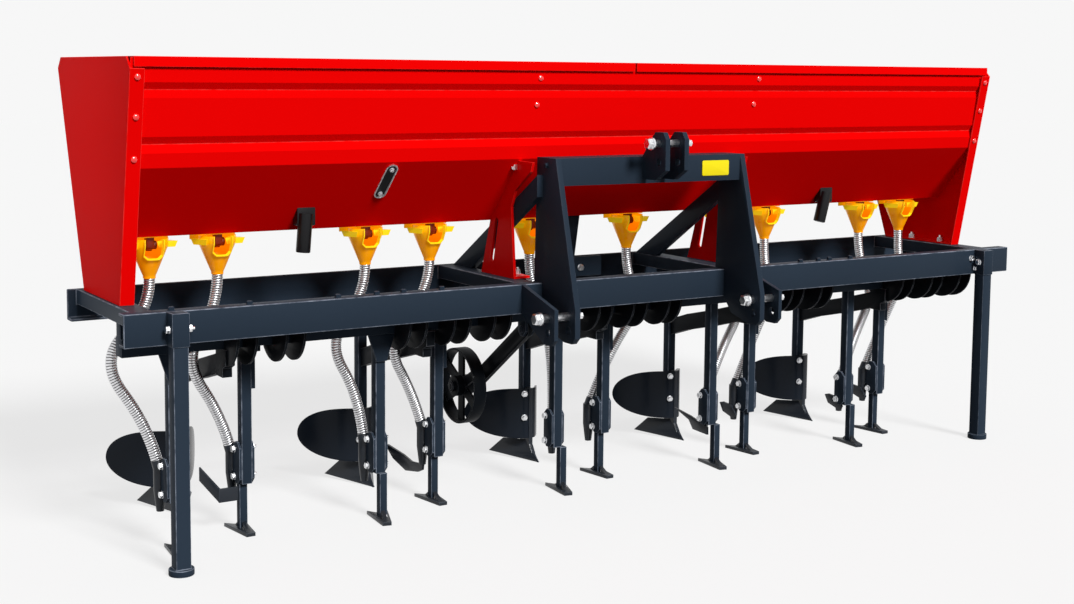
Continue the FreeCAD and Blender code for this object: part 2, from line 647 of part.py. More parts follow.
def clamp(x, y):
    """Two side plates round the end of a shank; one has a tab that holds the boot."""
    half = SHANK / 2
    bx, by = boot_place(x, y)
    corner = 18.0
    y0, y1 = y - half, y + half + 20.0
    outline = [(y0, SHANK_END + corner), (y0 + corner, SHANK_END), (y1 - corner, SHANK_END),
               (y1, SHANK_END + corner), (y1, CLAMP_Z1 - corner), (y1 - corner, CLAMP_Z1),
               (y0 + corner, CLAMP_Z1), (y0, CLAMP_Z1 - corner)]
    parts = []
    for side in (-1, 1):
        inner = x + side * half
        plate = plate_yz(outline, inner, inner + side * CLAMP_SHEET)
        if (bx - x) * side > 0:
            tab = slab(inner, inner + side * CLAMP_SHEET, y1 - 10, by, BOOT_TOP - 60,
                       BOOT_TOP - 10)
            plate = fuse([plate, tab]).cut(boot(x, y))
        parts.append(plate)
    return parts


def sweep(x, y):
    """Narrow share under a leg, with a low ridge along its middle."""
    lx, ly = leg_place(x, y)
    tip, rear = (SWEEP_TIP / 2, SWEEP_REAR / 2)
    y0 = ly - SWEEP_LENGTH / 2 - 2
    y1 = y0 + SWEEP_LENGTH
    outline = [(lx - tip, y0), (lx + tip, y0), (lx + rear, y1), (lx + 10, y1 - 25),
               (lx - 10, y1 - 25), (lx - rear, y1)]
    ridge = plate_yz([(y0 + 20, SWEEP_SHEET), (ly - LEG / 2, SWEEP_SHEET + SWEEP_RIDGE),
                      (ly + LEG / 2, SWEEP_SHEET + SWEEP_RIDGE), (y1 - 30, SWEEP_SHEET)],
                     lx - 7, lx + 7)
    body = fuse([plate_xy(outline, 0, SWEEP_SHEET), ridge])
    if is_front(y):
        body.rotate(V(lx, ly, 0), V(0, 0, 1), -13)
    return body.cut(leg(x, y))


def upper_bracket(x, y):
    """Two plates that hold a rear shank against the back of the front tool bar."""
    y0 = FRONT_TINE_Y + TOOLBAR_DEPTH / 2
    y1 = y + SHANK / 2 - 3
    half = SHANK / 2
    left = slab(x - half, x - half - 10, y0, y1, TOOLBAR_Z0 - 9, TOOLBAR_Z1)
    outline = [(y0, TOOLBAR_Z1), (y0, TOOLBAR_Z0 - 29), (y - half, TOOLBAR_Z0 - 29),
               (y - half, TOOLBAR_Z0 - 158), (y1, TOOLBAR_Z0 - 158), (y1, TOOLBAR_Z1)]
    right = plate_yz(outline, x + half, x + half + 12)
    return [plate.cut(Part.makeCompound(hangers)) for plate in (left, right)]


def gusset(x):
    """Tapered plate over a front shank, under the tool bar."""
    half = SHANK / 2
    outline = [(x - half, TOOLBAR_Z0 - 90), (x + half, TOOLBAR_Z0 - 90), (x + 48, TOOLBAR_Z0),
               (x - 48, TOOLBAR_Z0)]
    return plate_xz(outline, FRONT_TINE_Y - half - 10,
                    FRONT_TINE_Y - half).cut(Part.makeCompound(hangers))


save_set("tine_shanks", [shank(x, y) for x, y in TINES])
save_set("tine_legs", [leg(x, y) for x, y in TINES])
save_set("tine_clamps", [plate for x, y in TINES for plate in clamp(x, y)])
save_set("sweeps", [sweep(x, y) for x, y in TINES])
save_set("boots", [boot(x, y) for x, y in TINES])
save_set("tine_brackets", [plate for x, y in REAR_TINES for plate in upper_bracket(x, y)]
         + [gusset(x) for x, y in FRONT_TINES[:2]])


def left_knife():
    """Side knife on the leg of the outer rear tine: a flat bar bent back and upwards."""
    x, y = REAR_TINES[0]
    lx, ly = leg_place(x, y)
    side = lx - LEG / 2
    end = side - KNIFE_ARM
    front = ly - 1 - KNIFE_SHEET
    z0, z1 = KNIFE_BAR_FOOT, KNIFE_BAR_FOOT + KNIFE_BAR
    arm = box(end, side, front, ly - 1, z0, z1)
    bent = prism([V(end, front, z0), V(end, front, z1), V(end - 45, front + 60, z1 + 64),
                  V(end - 45, front + 60, z0 + 65)], V(6, 5, 0))
    return fuse([arm, bent])


def boot_knife(x, y, outline, left):
    """Flat knife at a boot; its outline is given in (Y, Z) from the middle of the boot's tip."""
    bx, by = boot_place(x, y)
    foot = BOOT_TOP - BOOT_STRAIGHT - BOOT_TAPER
    plate = plate_yz([(by + dy, foot + dz) for dy, dz in outline], bx - left,
                     bx - left + KNIFE_SHEET)
    return plate.cut(boot(x, y))


LONG_KNIFE = [(-8, 0), (8, 0), (78, -8), (142, 3), (270, 13), (283, 6), (222, -29), (123, -51),
              (27, -34), (-4, -20)]
SHORT_KNIFE = [(60, 60), (40, 28), (-32, 8), (-42, 28), (-10, 62), (40, 66)]
BENT_KNIFE = [(161, 62), (68, 31), (42, -1), (-47, -5), (-46, 24), (58, 48)]
knives = [left_knife(), boot_knife(*REAR_TINES[1], LONG_KNIFE, 4)]
knives += [boot_knife(*place, SHORT_KNIFE, 24) for place in REAR_TINES[3:] + FRONT_TINES[4:]]
knives.append(boot_knife(*FRONT_TINES[3], BENT_KNIFE, 24))
save_set("knives", knives)


# ---- ridgers --------------------------------------------------------------------------------
def ridger_shank(x):
    half = SHANK / 2
    return box(x - half, x + half, RIDGER_Y - half, RIDGER_Y + half,
               RIDGER_FOOT, RIDGER_TOP)


def wing(x, side):
    """Mouldboard: a curved sheet cut to a rounded outline."""
    reach = RIDGER_LEFT if side < 0 else RIDGER_RIGHT
    line = []
    for i in range(9):
        t = i / 8.0
        line.append((x + side * (FROG_SHEET / 2 + reach * t),
                     RIDGER_Y - FROG_FACE + 5 + WING_SWEEP * t ** 1.5))
    curve = band(line if side < 0 else line[::-1], -WING_SHEET)
    sheet = plate_xy(curve, WING_FOOT, WING_TOP + 20)
    shape = [(0, 0.30), (0, 1.0), (0.35, 0.975), (0.72, 0.90), (0.88, 0.82), (0.98, 0.72),
             (1.0, 0.62), (0.95, 0.52), (0.83, 0.44), (0.70, 0.39), (0.20, 0.30)]
    outline = [(x + side * (FROG_SHEET / 2 + (reach + 7) * s), WING_TOP * h) for s, h in shape]
    return sheet.common(plate_xz(outline, RIDGER_Y - 100, RIDGER_Y + 300))


def share(x):
    """Pointed share of two inclined blades that meet on the centre line."""
    tip = V(x, RIDGER_Y - SHARE_NOSE, 0)
    blades = []
    for side in (-1, 1):
        outer = V(x + side * SHARE_WIDTH / 2, RIDGER_Y + SHARE_BEHIND, 15)
        nose = V(x + side * FROG_SHEET / 2, RIDGER_Y - 25, 75)
        along = outer - tip
        up = nose - tip
        corner = tip + along * 0.5 + up * 0.81
        normal = along.cross(up).normalize()
        if normal.z > 0:
            normal = normal * -1
        blades.append(prism([tip, outer, corner, nose], normal * SHARE_SHEET))
    below = box(x - 200, x + 200, RIDGER_Y - 200, RIDGER_Y + 200, -50, 0)
    return fuse(blades).cut(below)


def frog(x):
    """Upright plate in front of the shank that carries the share and both wings."""
    rear, front = RIDGER_Y + SHANK / 2, RIDGER_Y - SHANK / 2
    toe, face = RIDGER_Y - FROG_FRONT, RIDGER_Y - FROG_FACE
    outline = [(toe, FROG_FOOT), (rear, FROG_FOOT), (rear, RIDGER_FOOT), (front, RIDGER_FOOT),
               (front, WING_TOP), (face, WING_TOP), (face, WING_FOOT), (toe, WING_FOOT - 30)]
    return plate_yz(outline, x - FROG_SHEET / 2, x + FROG_SHEET / 2)


save_set("ridger_shanks", [ridger_shank(x) for x in RIDGERS])
save_set("ridger_wings", [wing(x, side) for x in RIDGERS for side in (-1, 1)])
save_set("ridger_shares", [fuse([share(x), frog(x)]) for x in RIDGERS])

# ---- stands ---------------------------------------------------------------------------------
STAND_HOLE = STAND_LEG / 2 + STAND_CLEAR
STAND_HALF = STAND_HOLE + STAND_WALL
STAND_Y = -STAND_HALF


def sleeve(x):
    body = box(x - STAND_HALF, x + STAND_HALF, STAND_Y - STAND_HALF, 0, GROUND_TO_BEAM, BEAM_TOP)
    return body.cut(box(x - STAND_HOLE, x + STAND_HOLE, STAND_Y - STAND_HOLE,
                        STAND_Y + STAND_HOLE, GROUND_TO_BEAM, BEAM_TOP))


def stand(x):
    half = STAND_LEG / 2
    post = box(x - half, x + half, STAND_Y - half, STAND_Y + half, FOOT_SHEET / 2, BEAM_TOP)
    return fuse([post, cyl(FOOT_D / 2, FOOT_SHEET, (x, STAND_Y, 0), (0, 0, 1))])


save_set("stand_sleeves", [sleeve(x) for x in STAND_X])
save("stand_left", stand(STAND_X[0]))
save("stand_right", stand(STAND_X[1]))


# ---- ground wheel ---------------------------------------------------------------------------
def wheel():
    x0 = WHEEL_X - WHEEL_WIDTH / 2
    centre = (x0, WHEEL_Y, WHEEL_Z)
    rim = cyl(WHEEL_R, WHEEL_WIDTH, centre, (1, 0, 0))
    rim = rim.cut(cyl(WHEEL_R - 8, WHEEL_WIDTH, centre, (1, 0, 0)))
    hub = cyl(38, WHEEL_WIDTH + 20, (x0 - 10, WHEEL_Y, WHEEL_Z), (1, 0, 0))
    parts = [rim, hub]
    for i in range(6):
        spoke = box(WHEEL_X - 5, WHEEL_X + 5, WHEEL_Y - 18, WHEEL_Y + 18,
                    WHEEL_Z + 30, WHEEL_Z + WHEEL_R - 4)
        spoke.rotate(V(WHEEL_X, WHEEL_Y, WHEEL_Z), V(1, 0, 0), 60.0 * i)
        parts.append(spoke)
    return fuse(parts).cut(cyl(AXLE_D / 2 + RUNNING_CLEARANCE, WHEEL_WIDTH + 40,
                               (x0 - 20, WHEEL_Y, WHEEL_Z), (1, 0, 0)))


def wheel_arm():
    """Trailing arm with the wheel's axle and a collar each side of the hub."""
    x0 = TRAIL_X - TRAIL_SHEET / 2
    far = WHEEL_X - WHEEL_WIDTH / 2 - 24
    near = WHEEL_X + WHEEL_WIDTH / 2 + 10
    parts = [obround_yz((PIVOT_Y, PIVOT_Z), (WHEEL_Y, WHEEL_Z), TRAIL_WIDTH, x0,
                        x0 + TRAIL_SHEET),
             cyl(AXLE_D / 2, x0 + TRAIL_SHEET - far, (far, WHEEL_Y, WHEEL_Z), (1, 0, 0)),
             cyl(20, 10, (far + 2, WHEEL_Y, WHEEL_Z), (1, 0, 0)),
             cyl(20, x0 - near - 1, (near + 1, WHEEL_Y, WHEEL_Z), (1, 0, 0))]
    return fuse(parts).cut(cyl(AXLE_D / 2 + RUNNING_CLEARANCE, TRAIL_SHEET + 2,
                               (x0 - 1, PIVOT_Y, PIVOT_Z), (1, 0, 0)))


def arm_bracket():
    """Two cheeks under the front tool bar with the pin the arm turns on."""
    gap = TRAIL_SHEET / 2 + 2
    outline = [(PIVOT_Y - 28, TOOLBAR_Z0), (PIVOT_Y + 24, TOOLBAR_Z0), (PIVOT_Y + 24, PIVOT_Z - 5),
               (PIVOT_Y + 10, PIVOT_Z - 24), (PIVOT_Y - 10, PIVOT_Z - 24),
               (PIVOT_Y - 28, PIVOT_Z - 5)]
    parts = [plate_yz(outline, x, x + 10) for x in (TRAIL_X - gap - 10, TRAIL_X + gap)]
    parts.append(cyl(AXLE_D / 2, 2 * gap + 30, (TRAIL_X - gap - 15, PIVOT_Y, PIVOT_Z), (1, 0, 0)))
    return fuse(parts)


save("ground_wheel", wheel())
save("wheel_arm", wheel_arm())
save("arm_bracket", arm_bracket())


# ---- hoses ----------------------------------------------------------------------------------
def rounded_path(points):
    """Straight runs joined by tangent arcs through the corner points."""
    edges = []
    radii = []
    start = points[0]
    for a, b, c in zip(points, points[1:], points[2:]):
        into = b - a
        out = c - b
        cut = 0.45 * min(into.Length, out.Length)
        u = V(into).normalize()
        w = V(out).normalize()
        turn = u.getAngle(w)
        radius = cut / math.tan(turn / 2)
        radii.append(round(radius))
        p = b - u * cut
        q = b + w * cut
        centre = b + (w - u).normalize() * (radius / math.cos(turn / 2))
        mid = centre + (b - centre).normalize() * radius
        edges.append(Part.LineSegment(start, p).toShape())
        edges.append(Part.Arc(p, mid, q).toShape())
        start = q
    edges.append(Part.LineSegment(start, points[-1]).toShape())
    return Part.Wire(edges), radii


def hose(points):
    path, radii = rounded_path(points)
    direction = (points[1] - points[0]).normalize()
    ring = Part.Wire([Part.makeCircle(HOSE_D / 2, points[0], direction)])
    body = path.makePipeShell([ring], True, False)
    area = math.pi * HOSE_D ** 2 / 4
    print("   radii", radii, "length", round(path.Length), "volume ratio",
          round(body.Volume / (area * path.Length), 3))
    return body


def hose_route(x, y):
    """Down out of the funnel, round its two bows and straight into the boot's collar."""
    number = hose_number(x, y)
    xf = FUNNEL_X[number]
    root, way = collar(x, y)
    (dx, hy, hz), (ex, ey, ez) = HOSE_BOW[number]
    return [V(xf, FUNNEL_Y, FUNNEL_MOUTH), V(xf, FUNNEL_Y, FUNNEL_MOUTH - FIRST_RUN),
            V(xf + dx, hy, hz), V(root.x + ex, ey, ez), root + way * COLLAR]


for place in TINES:
    save("hose_%02d" % (hose_number(*place) + 1), hose(hose_route(*place)))

write_all()
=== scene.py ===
# %% [markdown]
# # A row crop cultivator, finished in Blender
#
# The machine is a tractor-mounted cultivator: a dark frame with a three-point hitch, ten tines and
# five ridging bodies, and a red fertiliser hopper whose funnels feed ten spiral steel hoses. Its
# solids come from CAD at their real size and place. This lesson gives every one of them rolled
# edges, paint and hardware. All lengths are in metres, and +Z is up.

# %% Load the CAD model
import json
import math

import bmesh
import bpy
from mathutils import Matrix, Vector


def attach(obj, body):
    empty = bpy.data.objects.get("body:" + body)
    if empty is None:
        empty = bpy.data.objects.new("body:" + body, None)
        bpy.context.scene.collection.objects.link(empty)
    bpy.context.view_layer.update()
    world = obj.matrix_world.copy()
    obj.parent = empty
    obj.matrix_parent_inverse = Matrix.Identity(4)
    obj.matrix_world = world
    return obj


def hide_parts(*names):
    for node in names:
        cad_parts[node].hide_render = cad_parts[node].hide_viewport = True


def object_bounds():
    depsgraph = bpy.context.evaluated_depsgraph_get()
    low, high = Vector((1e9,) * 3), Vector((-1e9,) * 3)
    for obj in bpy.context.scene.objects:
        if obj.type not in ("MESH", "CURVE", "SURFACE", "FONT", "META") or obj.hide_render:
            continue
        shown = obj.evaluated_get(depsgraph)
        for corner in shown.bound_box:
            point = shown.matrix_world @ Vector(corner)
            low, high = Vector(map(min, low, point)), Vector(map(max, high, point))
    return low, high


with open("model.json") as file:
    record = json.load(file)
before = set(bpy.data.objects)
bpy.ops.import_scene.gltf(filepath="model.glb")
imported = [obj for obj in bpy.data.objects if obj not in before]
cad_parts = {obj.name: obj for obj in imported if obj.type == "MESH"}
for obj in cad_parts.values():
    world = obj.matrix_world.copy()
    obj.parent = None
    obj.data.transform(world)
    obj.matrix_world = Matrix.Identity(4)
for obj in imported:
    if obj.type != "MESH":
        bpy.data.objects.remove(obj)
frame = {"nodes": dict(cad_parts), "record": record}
cad_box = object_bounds()

# %% [markdown]
# ## The camera
#
# The camera stands in front of the left end, at the height of the hopper, and looks along the
# machine. Its direction is three angles: a heading round the upright, a small tilt down and the
# least roll. A shift moves the picture without tipping the uprights, as a view camera does.

# %% Set the camera
CAMERA_PLACE = (-3.144, -4.580, 1.483)
CAMERA_HEADING = -32.1
CAMERA_TILT = -5.48
CAMERA_ROLL = 0.51
CAMERA_LENS = 50.8
CAMERA_SHIFT_Y = -0.0764

camera_data = bpy.data.cameras.new("camera")
camera_data.lens = CAMERA_LENS
camera_data.sensor_width = 36.0
camera_data.shift_y = CAMERA_SHIFT_Y
camera_data.clip_end = 100.0
camera = bpy.data.objects.new("camera", camera_data)
bpy.context.collection.objects.link(camera)
turn = Matrix.Rotation(math.radians(CAMERA_HEADING), 4, "Z")
turn = turn @ Matrix.Rotation(math.radians(90 + CAMERA_TILT), 4, "X")
turn = turn @ Matrix.Rotation(math.radians(CAMERA_ROLL), 4, "Z")
camera.matrix_world = Matrix.Translation(CAMERA_PLACE) @ turn
bpy.context.scene.camera = camera
print("camera heading", CAMERA_HEADING, "tilt", CAMERA_TILT)

# %% [markdown]
# ## Shader sums that read as sums
#
# A procedural finish is mostly arithmetic on masks and noise. Wiring Math nodes by hand hides it,
# so one small class wraps a socket and turns Python's own operators into those nodes. Colours go
# through Mix nodes instead, because a Math node would turn them grey.


# %% Wrap a socket
class Value:
    """A number socket of a node tree; arithmetic on it adds Math nodes."""

    def __init__(self, recipe, socket):
        self.recipe = recipe
        self.socket = socket

    def math(self, operation, *values):
        node = self.recipe.node("ShaderNodeMath", {"operation": operation}, dict(enumerate(values)))
        return node[0]

    def __add__(self, other):
        return self.math("ADD", self, other)

    def __sub__(self, other):
        return self.math("SUBTRACT", self, other)

    def __rsub__(self, other):
        return self.math("SUBTRACT", other, self)

    def __mul__(self, other):
        return self.math("MULTIPLY", self, other)

    def __truediv__(self, other):
        return self.math("DIVIDE", self, other)

    def __pow__(self, other):
        return self.math("POWER", self, other)

    __radd__ = __add__
    __rmul__ = __mul__

    def clamped(self):
        return self.math("MINIMUM", self.math("MAXIMUM", self, 0.0), 1.0)

    def above(self, edge, soft):
        """0 below edge, 1 above it, over a soft width."""
        return ((self - edge) / soft + 0.5).clamped()


class Recipe:
    """A new material, its node tree and its main shader."""

    def __init__(self, name):
        self.material = bpy.data.materials.new(name)
        self.material.use_nodes = True
        self.tree = self.material.node_tree
        self.shader = self.tree.nodes["Principled BSDF"]
        self.place = self.node("ShaderNodeTexCoord")["Object"]

    def node(self, kind, settings=None, inputs=None):
        """Add a node: its settings first, then its inputs; returns its outputs as Values."""
        made = self.tree.nodes.new(kind)
        for name, value in (settings or {}).items():
            setattr(made, name, value)
        self.feed(made, inputs or {})
        return Outputs(self, made)

    def feed(self, node, inputs):
        for name, value in inputs.items():
            if isinstance(value, Value):
                self.tree.links.new(value.socket, node.inputs[name])
            else:
                node.inputs[name].default_value = value

    def set(self, **inputs):
        self.feed(self.shader, {k.replace("_", " "): v for k, v in inputs.items()})

    def noise(self, scale, detail=3.0, stretch=(1.0, 1.0, 1.0)):
        """Noise from 0 to 1 with its grains a metre / scale apart, drawn out by stretch."""
        place = self.node("ShaderNodeMapping", {}, {"Vector": self.place, "Scale": stretch})
        inputs = {"Vector": place["Vector"], "Scale": scale, "Detail": detail}
        return self.node("ShaderNodeTexNoise", {}, inputs)[0]

    def mix(self, factor, a, b):
        """Blend two colours."""
        node = self.node("ShaderNodeMix", {"data_type": "RGBA"}, {0: factor, 6: a, 7: b})
        return node[2]

    def bump(self, height, strength, distance):
        inputs = {"Height": height, "Strength": strength, "Distance": distance}
        return self.node("ShaderNodeBump", {}, inputs)["Normal"]

    def attribute(self, name):
        return self.node("ShaderNodeAttribute", {"attribute_name": name})["Fac"]

    def height(self):
        return self.node("ShaderNodeSeparateXYZ", {}, {0: self.place})["Z"]

    def upward(self):
        """The upright part of the surface's direction: 1 where it faces the sky."""
        normal = self.node("ShaderNodeNewGeometry")["Normal"]
        return self.node("ShaderNodeSeparateXYZ", {}, {0: normal})["Z"]


class Outputs:
    """A node's outputs by name or number, each as a Value."""

    def __init__(self, recipe, node):
        self.recipe = recipe
        self.node = node

    def __getitem__(self, key):
        return Value(self.recipe, self.node.outputs[key])


def rgb(red, green, blue):
    return (red, green, blue, 1.0)


print("shader sums ready")

# %% [markdown]
# ## Paint
#
# Both paints are baked on: glossy, with a faint orange peel, a slow drift of tone from sheet to
# sheet and a little dust on what faces up. Where a piece has rolled edges, the paint is lighter
# there: partly a coat worn thin, partly a painted highlight for the light those edges catch. The
# pieces carry that in a face attribute called edge, because the edge is made with the geometry and
# so its mask is exact.


# %% Mix the paints
def paint(name, colour, edge_wear_and_highlight_colour, roughness, dust=0.05, coat=0.1, peel=0.00004, tone=0.16,
          shine=0.2):
    recipe = Recipe(name)
    drift = recipe.noise(1.3, 2.0)
    grain = recipe.noise(60.0, 4.0)
    deep = rgb(*(c * (1 - tone) for c in colour))
    light = rgb(*(c * (1 + tone) for c in colour))
    base = recipe.mix((drift * 0.8 + grain * 0.2).above(0.5, 0.9), deep, light)
    # Lighter paint on the rolled edges, broken by noise: partly a worn coat, partly a painted
    # highlight.
    edge = recipe.attribute("edge") * recipe.noise(35.0, 4.0).above(0.45, 0.4)
    base = recipe.mix(edge * 0.7, base, rgb(*edge_wear_and_highlight_colour))
    settled = recipe.upward().above(0.8, 0.3) * recipe.noise(9.0, 5.0).above(0.5, 0.4)
    base = recipe.mix(settled * dust, base, rgb(0.42, 0.40, 0.37))
    recipe.set(
        Base_Color=base,
        Roughness=(settled * dust * 2.0 + grain * 0.05 + roughness).clamped(),
        Normal=recipe.bump(recipe.noise(420.0, 2.0), 0.35, peel),
        Coat_Weight=coat,
        Coat_Roughness=0.08,
        Specular_IOR_Level=shine,
    )
    return recipe.material


RED_PAINT = paint("red_paint", (0.90, 0.001, 0.001), (1.0, 0.06, 0.05), 0.30, dust=0.02, tone=0.04,
                  coat=0.0, shine=0.003)
BRACKET_RED = paint("bracket_red_paint", (0.90, 0.002, 0.002), (1.0, 0.16, 0.12), 0.26, tone=0.06,
                    coat=0.0, shine=0.02)
RIVET_RED = paint("rivet_red", (0.95, 0.012, 0.010), (1.0, 0.2, 0.2), 0.22, shine=0.6, coat=0.8)
FRAME_PAINT = paint("frame_paint", (0.022, 0.034, 0.052), (0.32, 0.36, 0.44), 0.42, coat=0.02,
                    shine=0.03)
TOOL_PAINT = paint("tool_paint", (0.010, 0.014, 0.021), (0.16, 0.19, 0.24), 0.34, shine=0.3)
# A near-black copy of the frame paint for the ridger arms, half-round plates, wheel arm and ground
# wheel: painted shade, since these parts sit in shadow.
SHADE_PAINT = paint("shade_paint", (0.006, 0.008, 0.011), (0.34, 0.36, 0.40), 0.40, coat=0.02,
                    shine=0.03)
BOARD_PAINT = paint("mouldboard_paint", (0.012, 0.017, 0.026), (0.12, 0.15, 0.20), 0.16, dust=0.0,
                    coat=0.0, shine=0.10)
BLACK_PLASTIC = paint("black_plastic", (0.003, 0.003, 0.004), (0.02, 0.02, 0.02), 0.38, tone=0.08)
# Dark brown for the metering wheels in the funnel mouths: painted shade for the shadowed inside.
METER_PAINTED_SHADE = paint("metering_wheel_painted_shade", (0.16, 0.016, 0.004), (0.2, 0.03, 0.01), 0.35)
print("paints:", RED_PAINT.name, FRAME_PAINT.name, TOOL_PAINT.name)

# %% [markdown]
# ## Bare metal and plastic
#
# The bolts are zinc plated: bright, a little blotchy. The hoses are strip steel wound into a
# spiral, brightest on the crests; the grooves, which the groove attribute marks, are rougher and
# painted near black as painted shade. The funnels are moulded in an orange-yellow plastic, a
# deeper orange low on the cone and lighter towards the flange. Their lip and ears are painted
# lighter still as a painted highlight, and a faint glow is painted light that keeps them bright
# in the shade of the hopper.


# %% Mix the metals and the plastic
def bright_metal(name, colour, roughness, groove_shade_colour):
    recipe = Recipe(name)
    blotch = recipe.noise(120.0, 5.0)
    dull = rgb(*(c * 0.72 for c in colour))
    base = recipe.mix(blotch.above(0.5, 0.35), dull, rgb(*colour))
    # The grooves are painted near black: painted shade in the crimps.
    base = recipe.mix(recipe.attribute("groove"), base, rgb(*groove_shade_colour))
    recipe.set(
        Base_Color=base,
        Metallic=1.0,
        Roughness=(blotch * 0.16 + recipe.attribute("groove") * 0.3 + roughness).clamped(),
        Normal=recipe.bump(recipe.noise(700.0, 3.0), 0.3, 0.00005),
    )
    return recipe.material


# The funnels' glow: painted light, since they are no lamp.
FUNNEL_PAINTED_GLOW = 0.3


def funnel_plastic(name):
    recipe = Recipe(name)
    # Deeper orange low on the cone, lighter orange-yellow towards the flange.
    low = recipe.height().above(0.945, 0.08)
    patch = recipe.noise(30.0, 4.0).above(0.5, 0.6)
    deep = recipe.mix(patch, rgb(0.92, 0.30, 0.0), rgb(1.0, 0.38, 0.0))
    bright = recipe.mix(patch, rgb(1.0, 0.50, 0.0), rgb(1.0, 0.60, 0.0))
    base = recipe.mix(low, deep, bright)
    # The lip and the ears are painted a lighter yellow: a painted highlight.
    base = recipe.mix(recipe.attribute("lip"), base, rgb(1.0, 0.70, 0.01))
    # The emission is painted light that keeps the funnels bright in the shade of the hopper.
    recipe.set(
        Base_Color=base,
        Emission_Color=base,
        Emission_Strength=FUNNEL_PAINTED_GLOW,
        Roughness=(patch * 0.12 + 0.24).clamped(),
        Normal=recipe.bump(recipe.noise(260.0, 2.0), 0.4, 0.0001),
        Specular_IOR_Level=0.35,
    )
    return recipe.material


ZINC = bright_metal("zinc", (0.86, 0.87, 0.89), 0.22, (0.06, 0.06, 0.06))
HOSE_STEEL = bright_metal("hose_steel", (0.88, 0.88, 0.90), 0.22, (0.012, 0.012, 0.013))
FUNNEL_PLASTIC = funnel_plastic("funnel_plastic")
SIGN_YELLOW = paint("sign_yellow", (0.92, 0.76, 0.0), (0.5, 0.4, 0.0), 0.35, coat=0.2, tone=0.04)
print("metals and plastic:", ZINC.name, HOSE_STEEL.name, FUNNEL_PLASTIC.name)

# %% [markdown]
# ## From a bmesh to a piece
#
# A piece ends as a mesh object at the origin, riding on a body. One helper makes it: it sets the
# shading smooth and marks the creases that stay sharp, so that round things look round and plates
# keep their edges.


# %% Turn a bmesh into a piece
CREASE = math.radians(32)


def finish_mesh(bm, name, body, material, crease=CREASE):
    """Make bm an object of that name and material that rides on body."""
    for face in bm.faces:
        face.smooth = True
    for edge in bm.edges:
        edge.smooth = len(edge.link_faces) == 2 and edge.calc_face_angle(0.0) < crease
    mesh = bpy.data.meshes.new(name)
    bm.to_mesh(mesh)
    bm.free()
    materials = material if isinstance(material, (list, tuple)) else [material]
    for one in materials:
        mesh.materials.append(one)
    piece = bpy.data.objects.new(name, mesh)
    bpy.context.collection.objects.link(piece)
    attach(piece, body)
    print(name, len(mesh.polygons), "faces")
    return piece


def merge_into(bm, part, place=None):
    """Add the shape in part to bm, moved by the matrix place; part is used up."""
    if place is not None:
        bmesh.ops.transform(part, matrix=place, verts=part.verts)
    mesh = bpy.data.meshes.new("part")
    part.to_mesh(mesh)
    part.free()
    bm.from_mesh(mesh)
    bpy.data.meshes.remove(mesh)


# %% [markdown]
# ## Spiral steel hoses
#
# Each hose hangs between a funnel and a boot on a smooth line: a NURBS curve of order 3 through
# the route that the CAD tube has. The hose itself is a strip wound into a screw. Spinning one
# crimped edge round an axis while it climbs one pitch a turn gives exactly that, and since the
# crimps repeat with the pitch, the seam closes on itself. The straight hose is then laid along
# the line, vertex by vertex.

# %% Lay the hose lines
HOSE_ROUTES = {
    "hose_01": [(-1.677, 0.030, 0.841), (-1.677, 0.030, 0.741), (-1.847, 0.005, 0.600),
                (-1.710, -0.025, 0.390), (-1.687, -0.047, 0.281)],
    "hose_02": [(-1.456, 0.030, 0.841), (-1.456, 0.030, 0.741), (-1.570, 0.030, 0.570),
                (-1.448, 0.040, 0.382), (-1.419, 0.042, 0.281)],
    "hose_03": [(-0.936, 0.030, 0.841), (-0.936, 0.030, 0.741), (-1.086, 0.005, 0.590),
                (-0.990, -0.025, 0.410), (-0.982, -0.047, 0.281)],
    "hose_04": [(-0.691, 0.030, 0.841), (-0.691, 0.030, 0.741), (-0.861, 0.020, 0.560),
                (-0.755, 0.035, 0.382), (-0.720, 0.040, 0.280)],
    "hose_05": [(-0.284, 0.030, 0.841), (-0.284, 0.030, 0.741), (-0.224, 0.010, 0.600),
                (-0.213, -0.025, 0.400), (-0.229, -0.047, 0.281)],
    "hose_06": [(0.144, 0.030, 0.841), (0.144, 0.030, 0.741), (0.229, 0.038, 0.630),
                (0.070, 0.041, 0.430), (0.003, 0.042, 0.279)],
    "hose_07": [(0.597, 0.030, 0.841), (0.597, 0.030, 0.741), (0.702, 0.012, 0.575),
                (0.562, -0.025, 0.420), (0.482, -0.048, 0.278)],
    "hose_08": [(0.818, 0.030, 0.841), (0.818, 0.030, 0.741), (0.868, 0.038, 0.600),
                (0.775, 0.041, 0.430), (0.704, 0.042, 0.279)],
    "hose_09": [(1.328, 0.030, 0.841), (1.328, 0.030, 0.741), (1.416, 0.025, 0.575),
                (1.272, -0.025, 0.420), (1.184, -0.049, 0.277)],
    "hose_10": [(1.559, 0.030, 0.841), (1.559, 0.030, 0.741), (1.599, 0.038, 0.620),
                (1.490, 0.041, 0.440), (1.405, 0.042, 0.278)],
}
HOSE_D = 0.036


def smooth_line(name, route):
    """Points along the NURBS curve that has the route as its control points."""
    curve = bpy.data.curves.new(name + "_line", "CURVE")
    curve.dimensions = "3D"
    curve.resolution_u = 24
    spline = curve.splines.new("NURBS")
    spline.points.add(len(route) - 1)
    for point, place in zip(spline.points, route):
        point.co = (*place, 1.0)
    spline.order_u = 3
    spline.use_endpoint_u = True
    holder = bpy.data.objects.new(name + "_line", curve)
    mesh = bpy.data.meshes.new_from_object(holder)
    points = [v.co.copy() for v in mesh.vertices]
    bpy.data.objects.remove(holder)
    bpy.data.curves.remove(curve)
    bpy.data.meshes.remove(mesh)
    return points


lines = {name: smooth_line(name, route) for name, route in HOSE_ROUTES.items()}
print("hose lines of", len(lines["hose_01"]), "points")

# %% Wind a straight hose
HOSE_PITCH = 0.008
HOSE_SIDES = 20
CRIMP = ((0.0, 0.86, 1.0), (0.24, 0.98, 0.0), (0.5, 1.0, 0.0), (0.76, 0.98, 0.0))


